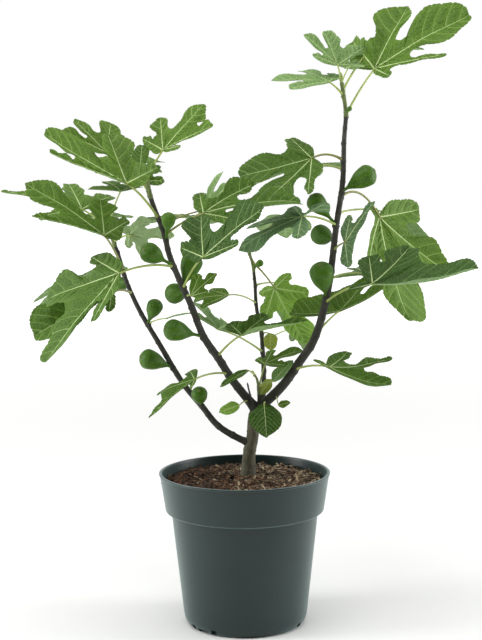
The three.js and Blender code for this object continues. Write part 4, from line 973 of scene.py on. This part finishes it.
def halfLobe(leaf, lobes, index, side, sway, draw):
    # the surface of half a lobe, as rows that run from its vein to its edge: distance and bearing from the
    # blade's base, lift, depth of groove and of rib; then which rows are side veins, the places of the rows
    # between two of those, and how many rows end on the seam
    rule, length = bladeRule, leaf["length"]
    angle, share = lobes[index][:2]
    reach = share * length
    fold = lobes[index][4 if side == 1 else 5]
    other = index - side
    inner = 0 <= other < len(lobes)
    cells = 5 if length > 45 else 2  # rows between two side veins
    spacing = rule["veinSpacing"] * max(length, 38)
    veinWidth = rule["sideVein"] * min(1, 0.5 + length / 160)
    scale = min(1.1, 0.35 + 0.65 * length / 110)
    if "whole" in leaf:
        margin = wholeMargin(reach, leaf["whole"])
    else:
        margin, notch, seam, widest = lobeMargin(leaf, lobes, index, side)
    seamRows = stretchRows(seam, spacing, cells, veinWidth) if inner else []
    rows = stretchRows(lengthsAlong(margin)[-1], spacing, cells, veinWidth)
    edge = [notch * (distance / seam) for distance, _, _ in seamRows]
    edge = np.array([*edge, *toothedEdge(margin, rows, reach, scale, draw), (reach, 0.0)])
    edge[0] = (0, 0)
    rows = [*seamRows, *rows, (0, False, 0.0)]
    narrow, phases = np.array([row[1] for row in rows]), np.array([row[2] for row in rows])
    x, y, shares = gridBetween(edge, reach, scale)
    distance = np.hypot(x, y)
    bearing = math.radians(angle) + side * np.arctan2(y, x)

    # the half folds up from its vein, and meets its neighbour half way at the seam
    slopes = np.full(len(edge), fold)
    if inner:
        seamFold = (fold + lobes[other][5 if side == 1 else 4]) / 2
        opening = np.clip((edge[:, 0] - notch[0]) / max(widest - notch[0], 1), 0, 1)
        opening[: len(seamRows)] = 0
        slopes = seamFold + (fold - seamFold) * opening
    lift = slopes[:, None] * (y - 2.0 * (1 - np.exp(-y / 2.0)))
    uneven = np.repeat([draw.uniform(0.6, 1.3) for _ in range(len(phases) // cells + 1)], cells)
    bulge = np.sin(math.pi * phases) * uneven[: len(phases)]
    lift += rule["pucker"] * length * bulge[:, None] * np.sin(math.pi * np.clip(shares, 0, 1)) ** 1.6
    out = distance / length
    for (height, outward, across), start in zip(rule["ripples"], sway):
        lift += height * length * out**2 * np.sin(outward * out + across * bearing + start)
    groove, rib = veinRelief(x, shares, reach, scale, narrow)
    return distance, bearing, lift, groove, rib, narrow, phases, len(seamRows)


def bendOut(leaf, axes, distance, bearing, lift):
    # places on the flat blade as points of the drooping one
    midrib, left, face = axes
    bend = math.radians(leaf.get("droop", bladeRule["droop"])) / leaf["length"]
    span = np.sin(bend * distance) / bend + lift * np.sin(bend * distance)
    height = (np.cos(bend * distance) - 1) / bend + lift * np.cos(bend * distance)
    return (np.asarray(leaf["base"], float) + (span * np.cos(bearing))[..., None] * midrib
            + (span * np.sin(bearing))[..., None] * left + height[..., None] * face)


def sheetFaces(start, shape, sheet, flip, narrow, phases):
    # the squares of one side of half a lobe, and the tone of each
    quads, tones = [], []
    for row in range(shape[0] - 1):
        for column in range(shape[1] - 1):
            a = start + row * shape[1] + column
            b, c, d = a + 1, a + shape[1] + 1, a + shape[1]
            quads.append((a, d, c, b) if flip else (a, b, c, d))
            middle = sheet == 0 and 1 < column < bladeRule["columns"] and 0.15 < phases[row] < 0.7
            if column == 0:
                tones.append(2 + sheet)
            elif narrow[row]:
                tones.append(4 - sheet)
            else:
                tones.append(5 if middle else sheet)
    return quads, tones


def bladeMesh(leaf, draw):
    # the blade's points and faces, and for each face its place in bladeTones
    axes = leafAxes(leaf)
    lobes = lobesOf(leaf)
    sway = [draw.uniform(0, 6.28) for _ in range(4)]  # one for each ripple, and two to spare
    thick = bladeRule["thickness"] * min(1, 0.6 + leaf["length"] / 200)
    sheets, quads, tones, rims = [], [], [], []
    count = 0
    for index in range(len(lobes)):
        for side in (1, -1):
            half = halfLobe(leaf, lobes, index, side, sway, draw)
            distance, bearing, lift, groove, rib, narrow, phases, seam = half
            rows, columns = lift.shape
            for sheet, offset in ((0, thick / 2 - groove), (1, -thick / 2 - rib)):
                sheets.append(bendOut(leaf, axes, distance, bearing, lift + offset).reshape(-1, 3))
                flip = (side == 1) == (sheet == 1)
                more = sheetFaces(count + sheet * rows * columns, lift.shape, sheet, flip, narrow, phases)
                quads += more[0]
                tones += more[1]
            for row in range(seam, rows - 1):
                a = count + (row + 1) * columns - 1
                b = a + columns
                d = a + rows * columns
                c = d + columns
                rims.append((a, d, c, b) if side == 1 else (a, b, c, d))
            count += 2 * rows * columns
    # points that fall together on the veins and seams become one
    points = np.concatenate(sheets)
    keys, place = np.unique(np.round(points * 500).astype(np.int64), axis=0, return_inverse=True)
    place = place.ravel()
    merged = np.zeros((len(keys), 3))
    merged[place] = points
    quads = place[np.array(quads + rims)]
    tones = np.array(tones + [0] * len(rims))
    faces = np.concatenate([quads[:, [0, 1, 2]], quads[:, [0, 2, 3]]])
    tones = np.concatenate([tones, tones])
    good = (faces[:, 0] != faces[:, 1]) & (faces[:, 1] != faces[:, 2]) & (faces[:, 0] != faces[:, 2])
    return merged, faces[good], tones[good]


petiole = {
    "radius": 1.5,
    "sides": 10,
    "rings": 18,
    "arch": 0.1,  # how far its middle is lifted, of its length
    "under": 7,  # how far it runs on below the midrib
    "colours": {"green": "#94a552", "olive": "#8b8d4b", "young": "#a5b667"},
    "mature": 40,  # longer blades mostly have green or olive petioles, and shorter ones young ones
    "grain": (1.11, 0.2, 0.25),  # a real one's skin is finer, and this is as fine as shows
}


def petioleMesh(leaf, name):
    midrib, _, face = leafAxes(leaf)
    start = limbPoint(name, leaf["at"])
    base = np.asarray(leaf["base"], float)
    away = base - start
    whole = np.linalg.norm(away)
    middle = start + away * 0.5
    middle[2] += leaf.get("arch", petiole["arch"]) * whole
    share = np.linspace(0, 1, petiole["rings"])[:, None]
    curve = (1 - share) ** 2 * start + 2 * share * (1 - share) * middle + share**2 * base
    shares = share.ravel()
    radius = petiole["radius"] * min(1, 0.45 + leaf["length"] / 160)
    radii = radius * (1 - 0.25 * shares) * (1 + 0.35 * hump(shares, 1, 0.06))
    radii *= 1 + 0.5 * hump(shares * whole, 0, 6)
    beyond = min(petiole["under"], 0.12 * leaf["length"])
    tail = base + np.outer(np.linspace(0.25, 1, 4) * beyond, midrib) - radius * 0.55 * face
    radii = np.concatenate([radii, radius * np.array([0.85, 0.7, 0.5, 0.2])])
    return tubeMesh(np.vstack([curve, tail]), radii, petiole["sides"])


# petioles are smooth and waxy, so they shine a little along their length
petioleFinishes = [
    grainyFinish(f"fig petiole {name}", colour, 0.42, petiole["grain"])[0]
    for name, colour in petiole["colours"].items()]
leafMaterials = leafFinishes()
petioleHeap = Heap()
sprays = {
    "right": ["right_top_leaves", "right_upper_leaves", "right_lower_leaves", "right_low_leaf",
              "right_mid_leaf", "fork_leaf", "fork_right_leaf"],
    "centre": ["centre_top_leaves", "centre_upper_leaves", "centre_lower_leaves", "centre_low_leaf",
               "centre_front_leaf", "fork_left_leaf"],
    "left": ["left_top_leaves", "left_lower_leaves"],
    "back": ["back_top_leaves", "back_lower_leaves", "young_shoot"],
}
for spray, nodeNames in sprays.items():
    heap = Heap()
    for nodeName in nodeNames + (["left_fig"] if spray == "left" else []):  # that one has a small leaf
        mass = masses[nodeName]
        for number, leaf in enumerate(mass["leaves"]):
            draw = random.Random(f"{nodeName} {number}")
            points, faces, tones = bladeMesh(leaf, draw)
            heap.add(points, faces, bladeTones(leaf["tone"])[tones])
            stalkTone = draw.choice([0, 0, 1, 2]) if leaf["length"] > petiole["mature"] else 2
            petioleHeap.add(*petioleMesh(leaf, mass["limb"]), stalkTone)
    piece = heap.build(f"{spray}_foliage", leafMaterials)
    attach(piece, "root")
    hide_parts(*nodeNames)

print("figs")

figRule = {
    "stalk": 1.9,
    "sides": 40,
    "rings": 34,
    "ribs": 11,
    "ribHeight": 0.016,
    "lopsided": 0.04,
    "youngBelow": 18,  # width
    "flecks": 2.4,  # spacing
    "grain": (11.1, 0.6, 0.15),  # of the soft dents, which are darker too: painted shade
    # base colour, colour of the flecks, darker colour in the soft dents as painted shade
    "unripe": ("#42690e", "#62862a", "#375c0c"),
    "young": ("#4c7414", "#6c9032", "#406712"),
    "eye": "#5a6a2c",
}


def figMesh(fig, name, draw):
    start = limbPoint(name, fig["at"])
    axis = np.asarray(fig["centre"], float) - start
    distance = np.linalg.norm(axis)
    axis /= distance
    radius = fig["width"] / 2
    stalk = min(figRule["stalk"], radius * 0.4)
    neck = max(0.2 * distance, distance - 2 * radius)
    # a pear-shaped outline: stalk, neck, shoulder, belly, and the flattened end with its eye
    body = distance - neck
    knots = [
        (0, stalk * 1.25), (neck * 0.6, stalk), (neck, stalk * 1.25), (neck + 0.3 * body, 0.5 * radius),
        (neck + 0.62 * body, 0.83 * radius), (distance, 0.985 * radius),
        (distance + 0.4 * radius, 0.93 * radius), (distance + 0.75 * radius, 0.62 * radius),
        (distance + 0.9 * radius, 0.28 * radius), (distance + 0.92 * radius, 0.12 * radius),
    ]
    outline = hermiteCurve(knots, (neck * 0.5, 0), (0, -0.1 * radius), 8)
    outline = pointsAt(outline, np.linspace(0, lengthsAlong(outline)[-1], figRule["rings"]))
    angles = np.arange(figRule["sides"]) * 2 * math.pi / figRule["sides"]
    phase = draw.uniform(0, 6.28)
    fullness = np.clip((outline[:, 1] - stalk * 1.2) / radius, 0, 1)
    ribs = figRule["ribHeight"] * (0.5 + 0.5 * np.cos(figRule["ribs"] * angles + phase))
    ribs += figRule["lopsided"] * np.cos(angles + phase * 2)
    radii = outline[:, 1][:, None] * (1 + fullness[:, None] * ribs[None, :])
    centres = start + np.outer(outline[:, 0], axis)
    return tubeMesh(centres, radii, figRule["sides"]), eyeMesh(centres[-1], axis, radius)


def eyeMesh(end, axis, radius):
    # a low ring of scales
    steps = np.array([-0.4, 0.25, 0.55, 0.6]) * radius * 0.12
    return tubeMesh(end + np.outer(steps, axis), radius * np.array([0.2, 0.19, 0.13, 0.03]), 14)


def figSkin(kind):
    # unripe fig skin: waxy and firm, with fine pale flecks and faint ribs, so a soft broad highlight; its
    # soft dents are darkened with painted shade
    main, light, shade = figRule[kind]
    constants = {"Specular IOR Level": 0.32}  # a dull bloom over the wax
    material, tree, sockets, cloud = grainyFinish(
        f"fig skin {kind}", main, 0.46, figRule["grain"], 3, constants)
    flecks = addNode(tree, "ShaderNodeTexVoronoi", {
        "Vector": placeCoordinates(tree), "Scale": 1 / (figRule["flecks"] * metre)})
    # the soft dents take the darker colour: painted shade
    spotColours(tree, sockets, ((0.35, shade), (0.7, main)), cloud,
                ((0.14, "#ffffff"), (0.26, "#000000")), flecks.outputs["Distance"], light)
    return material


figHeap = Heap()
figNodes = []
for nodeName, mass in masses.items():
    for number, fig in enumerate(mass.get("figs", [])):
        skin, eye = figMesh(fig, mass["limb"], random.Random(f"fig {nodeName} {number}"))
        figHeap.add(*skin, 1 if fig["width"] < figRule["youngBelow"] else 0)
        figHeap.add(*eye, 2)
    if "leaves" not in mass:
        figNodes.append(nodeName)
eyeFinish = newFinish("fig eye scale", figRule["eye"], 0.6)[0]
figPiece = figHeap.build("figs", [figSkin("unripe"), figSkin("young"), eyeFinish])
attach(figPiece, "root")
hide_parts(*figNodes)

stalkPiece = petioleHeap.build("petioles", petioleFinishes)
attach(stalkPiece, "root")
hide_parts("left_fig")

print("potting mix")

mix = {
    "radius": 99.2,
    "dip": 3,
    "flat": 0.3,  # share of the radius before it dips towards the wall
    "mound": (4, 8, 3.0, 420),  # its middle, height and spread in square millimetres, at the trunk's foot
    "lumps": (2.24, 0.09),  # height, and how many for each millimetre
    "sunk": 1.2,  # for the crumbs and chips that lie on it
    "rings": 46,
    "sides": 120,
    "chips": 1100,
    "chipSize": (0.9, 2.9),
    "chipShape": (2.4, 0.7, 0.35),
    "fibres": 950,
    "fibreLength": (6, 22),
    "fibreSteps": 7,
    "crumbs": 1300,
    "crumbSize": (0.5, 1.5),
    "russet": (-8, 22),  # russet fibres lie to the left of this, give or take
    "grain": (1.43, 0.8, 0.8),  # of crumbled peat
    "colours": {
        "peat": "#33271f", "coir": "#4d392b", "bark chip": "#5e4736", "dry coir": "#7d6650",
        "straw": "#a8967c", "russet coir": "#69462e",
    },
}


def soilHeight(x, y):
    reach = math.hypot(x, y) / mix["radius"]
    level = soilLevel - mix["dip"] * max(0, (reach - mix["flat"]) / (1 - mix["flat"])) ** 2
    middleX, middleY, height, spread = mix["mound"]
    mound = height * math.exp(-(((x - middleX) ** 2 + (y - middleY) ** 2) / spread))
    lump, share = mix["lumps"]
    return level + mound + lump * noise.fractal(Vector((x, y, 0)) * share, 0.9, 2.0, 4) - mix["sunk"]


def addSoil(heap):
    rings, sides = mix["rings"], mix["sides"]
    points = [(0, 0, soilHeight(0, 0))]
    for ring in range(1, rings + 1):
        radius = mix["radius"] * ring / rings
        for side in range(sides):
            angle = 2 * math.pi * side / sides
            x, y = radius * math.cos(angle), radius * math.sin(angle)
            points.append((x, y, soilHeight(x, y)))
    middle = [(0, 1 + side, 1 + (side + 1) % sides) for side in range(sides)]
    grid = gridFaces(rings, sides)[:, [0, 2, 1]] + 1
    heap.add(points, np.concatenate([middle, grid]), 0)


def freeSpot(draw):
    # a place on the mix that is clear of the pot's wall and of the trunk
    radius = mix["radius"]
    while True:
        x, y = draw.uniform(-1, 1) * radius, draw.uniform(-1, 1) * radius
        if math.hypot(x, y) < radius - 3 and math.hypot(x - mix["mound"][0], y - mix["mound"][1]) > 9:
            return np.array([x, y, soilHeight(x, y)])


def mixTone(draw, place, russet, others):
    middle, spread = mix["russet"]
    return draw.choice(russet if place[0] < middle + draw.gauss(0, spread) else others)


def addGrain(heap, draw, sizes, proportions):
    # a crumb or a chip: a bent and battered block
    size = draw.uniform(*sizes)
    shape = np.array([size, size * draw.uniform(0.5, 1), size * draw.uniform(0.5, 0.9)]) * proportions
    cube = np.array([(x, y, z) for x in (-1, 1) for y in (-1, 1) for z in (-1, 1)], float)
    corners = cube * shape * np.array([[draw.uniform(0.6, 1.1) for _ in range(3)] for _ in range(8)])
    turn, tip = draw.uniform(0, 6.28), draw.gauss(0, 0.35)
    corners[:, 2] += corners[:, 0] * math.tan(max(-1, min(1, tip)))
    place = freeSpot(draw)
    tone = mixTone(draw, place, [0, 0, 1, 2, 5], [0, 1, 2, 3, 4])
    heap.add(turnFlat(corners, turn) + place + (0, 0, size * 0.3), boxFaces, tone)


def addFibre(heap, draw):
    # a curling fibre that lies on the mix, left out where it would meet the pot
    start = freeSpot(draw) + (0, 0, 0.8)
    turn = draw.uniform(0, 6.28)
    length = draw.uniform(*mix["fibreLength"])
    curl = draw.uniform(-1.6, 1.6)
    steps = mix["fibreSteps"]
    line = [start]
    for _ in range(steps - 1):
        turn += curl / steps
        step = np.array([math.cos(turn), math.sin(turn), draw.uniform(-0.25, 0.3)]) * length / steps
        line.append(line[-1] + step)
    line = np.array(line)
    if np.hypot(line[:, 0], line[:, 1]).max() > mix["radius"] - 1:
        return
    for point in line:
        point[2] = max(point[2], soilHeight(point[0], point[1]) + 0.2)
    points, faces = tubeMesh(line, np.full(steps, draw.uniform(0.22, 0.5)), 4)
    heap.add(points, faces, mixTone(draw, start, [1, 2, 5, 5, 3], [1, 2, 3, 4, 4]))


soilHeap = Heap()
addSoil(soilHeap)
draw = random.Random("potting mix")
for _ in range(mix["crumbs"]):
    addGrain(soilHeap, draw, mix["crumbSize"], (1, 1, 1))
for _ in range(mix["chips"]):
    addGrain(soilHeap, draw, mix["chipSize"], mix["chipShape"])
for _ in range(mix["fibres"]):
    addFibre(soilHeap, draw)
# peat and coir: dull and dusty, dark where damp, with tan and straw fibres
soilPiece = soilHeap.build("potting_mix", [
    grainyFinish(f"potting mix {name}", colour, 0.95, mix["grain"], 4)[0]
    for name, colour in mix["colours"].items()])
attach(soilPiece, "root")
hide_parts("soil")

print("pot")

pot = {
    "height": 188,
    "rimRadius": 105,
    "lipDrop": 2.4,
    "lipOverhang": 1.1,
    "lipWidth": 3.4,
    "collarHeight": 46,
    "collarFoot": 97.5,
    "bodyTop": 90,
    "bodyFoot": 76,
    "baseRadius": 70,
    "cornerHeight": 10,
    "wall": 2.2,
    "floor": 3,
    "sides": 160,
    "sharpAngle": 40,
    "colours": ("#0e2120", "#132827"),
    "cloud": 71.4,  # width of its paler patches
    "grain": (1.11, 0.3, 0.12),  # a mould's texture is finer, and this is as fine as shows
    # a dull moulding, a little dusty
    "shine": {"IOR": 1.49, "Specular IOR Level": 0.42, "Sheen Weight": 0.42, "Sheen Roughness": 0.45},
    "dust": "#b9dcd9",
}
# arches under the foot, with a drain hole through the corner either side of each
arches = {"count": 3, "turn": -135, "inner": 60, "width": 19, "height": 4.5, "roof": 2}
drains = {"turn": 13.5, "width": 7.5, "height": 7}


def roundedProfile(knots):
    # each knot is radius, height and how far its corner is rounded
    points = []
    for index, (radius, height, rounding) in enumerate(knots):
        here = np.array([radius, height], float)
        if rounding == 0:
            points.append(here)
            continue
        start, end = [
            here + toward / np.linalg.norm(toward) * min(rounding, np.linalg.norm(toward) * 0.49)
            for toward in (np.array(knots[index + step][:2]) - here for step in (-1, 1))]
        for share in np.linspace(0, 1, 6):
            points.append((1 - share) ** 2 * start + 2 * share * (1 - share) * here + share**2 * end)
    return np.array(points)


def potMesh():
    height, rim, wall, base = pot["height"], pot["rimRadius"], pot["wall"], pot["baseRadius"]
    body, foot, collarFoot, corner = pot["bodyTop"], pot["bodyFoot"], pot["collarFoot"], pot["cornerHeight"]
    collar, lip, inside = height - pot["collarHeight"], height - pot["lipDrop"], rim - pot["lipWidth"]
    profile = roundedProfile([
        # outside, from the middle of the underside up to the lip
        (0, 0, 0), (base, 0, 1.2), (base + 3.4, 3.6, 2), (foot, corner, 5), (body, collar - 4, 1.0),
        (body + 0.7, collar - 2.9, 0.6), (collarFoot - 0.3, collar - 0.6, 1.6),
        (rim - pot["lipOverhang"], lip, 0.5), (rim, lip + 0.8, 0.5), (rim, height, 1.2),
        # inside, down to the middle of the floor
        (inside, height, 1.2), (inside - 0.6, height - 2, 1.0), (collarFoot - wall, collar + 2, 2.0),
        (body - wall, collar - 4, 1.0), (foot - wall, corner + 1, 3), (base, pot["floor"], 2),
        (0, pot["floor"], 0)])
    angles = np.arange(pot["sides"]) * 2 * math.pi / pot["sides"]
    radii, heights = profile[1:-1].T
    rings = np.stack([
        np.outer(radii, np.cos(angles)), np.outer(radii, np.sin(angles)),
        np.outer(heights, np.ones(pot["sides"]))], 2)
    return closeRings(rings, (0, 0, 0), (0, 0, pot["floor"]))


def polypropylene():
    # injection-moulded polypropylene: dark slate green, with a fine satin texture, so soft highlights
    shade, main = pot["colours"]
    constants = {**pot["shine"], "Sheen Tint": linearColour(pot["dust"])}
    material, tree, sockets, _ = grainyFinish(
        "polypropylene moulded", main, 0.34, pot["grain"], constants=constants)
    cloud = addNode(tree, "ShaderNodeTexNoise", {
        "Vector": placeCoordinates(tree), "Scale": 1 / (pot["cloud"] * metre), "Detail": 3})
    addNode(tree, "ShaderNodeValToRGB", {"Fac": cloud.outputs["Fac"]}, {"Color": sockets["Base Color"]},
            stops=((0.3, shade), (0.7, main)))
    return material


def addBlock(heap, inner, outer, width, bottom, top, degrees):
    # a block that reaches out from the pot's axis
    corners = np.array([
        (x, y, z) for x in (inner, outer) for y in (-width / 2, width / 2) for z in (bottom, top)])
    heap.add(turnFlat(corners, math.radians(degrees)), boxFaces, 0)


def carve(piece, heap, operation):
    # joins the heap's blocks to the piece or cuts them out of it
    tool = heap.build("carving blocks", [piece.data.materials[0]])
    step = piece.modifiers.new("carving", "BOOLEAN")
    step.operation = operation
    step.solver = "EXACT"
    step.object = tool
    graph = bpy.context.evaluated_depsgraph_get()
    carved = bpy.data.meshes.new_from_object(piece.evaluated_get(graph), depsgraph=graph)
    piece.modifiers.clear()
    piece.data = carved
    bpy.data.objects.remove(tool)


def carveFoot(piece):
    roofs, cuts = Heap(), Heap()
    edge, beyond = pot["wall"], pot["bodyFoot"] + 5
    for number in range(arches["count"]):
        turn = arches["turn"] + 360 * number / arches["count"]
        addBlock(roofs, arches["inner"] - edge, pot["baseRadius"] + 1.4, arches["width"] + 2 * edge,
                 2, arches["height"] + arches["roof"], turn)
        addBlock(cuts, arches["inner"], beyond, arches["width"], -1, arches["height"], turn)
        for side in (-1, 1):
            addBlock(cuts, pot["baseRadius"] - 1, beyond, drains["width"], -1, drains["height"],
                     turn + side * drains["turn"])
    carve(piece, roofs, "UNION")
    carve(piece, cuts, "DIFFERENCE")
    piece.data.set_sharp_from_angle(angle=math.radians(pot["sharpAngle"]))


potHeap = Heap()
potHeap.add(*potMesh(), 0)
potPiece = potHeap.build("nursery_pot", [polypropylene()], pot["sharpAngle"])
carveFoot(potPiece)
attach(potPiece, "root")
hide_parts("pot")
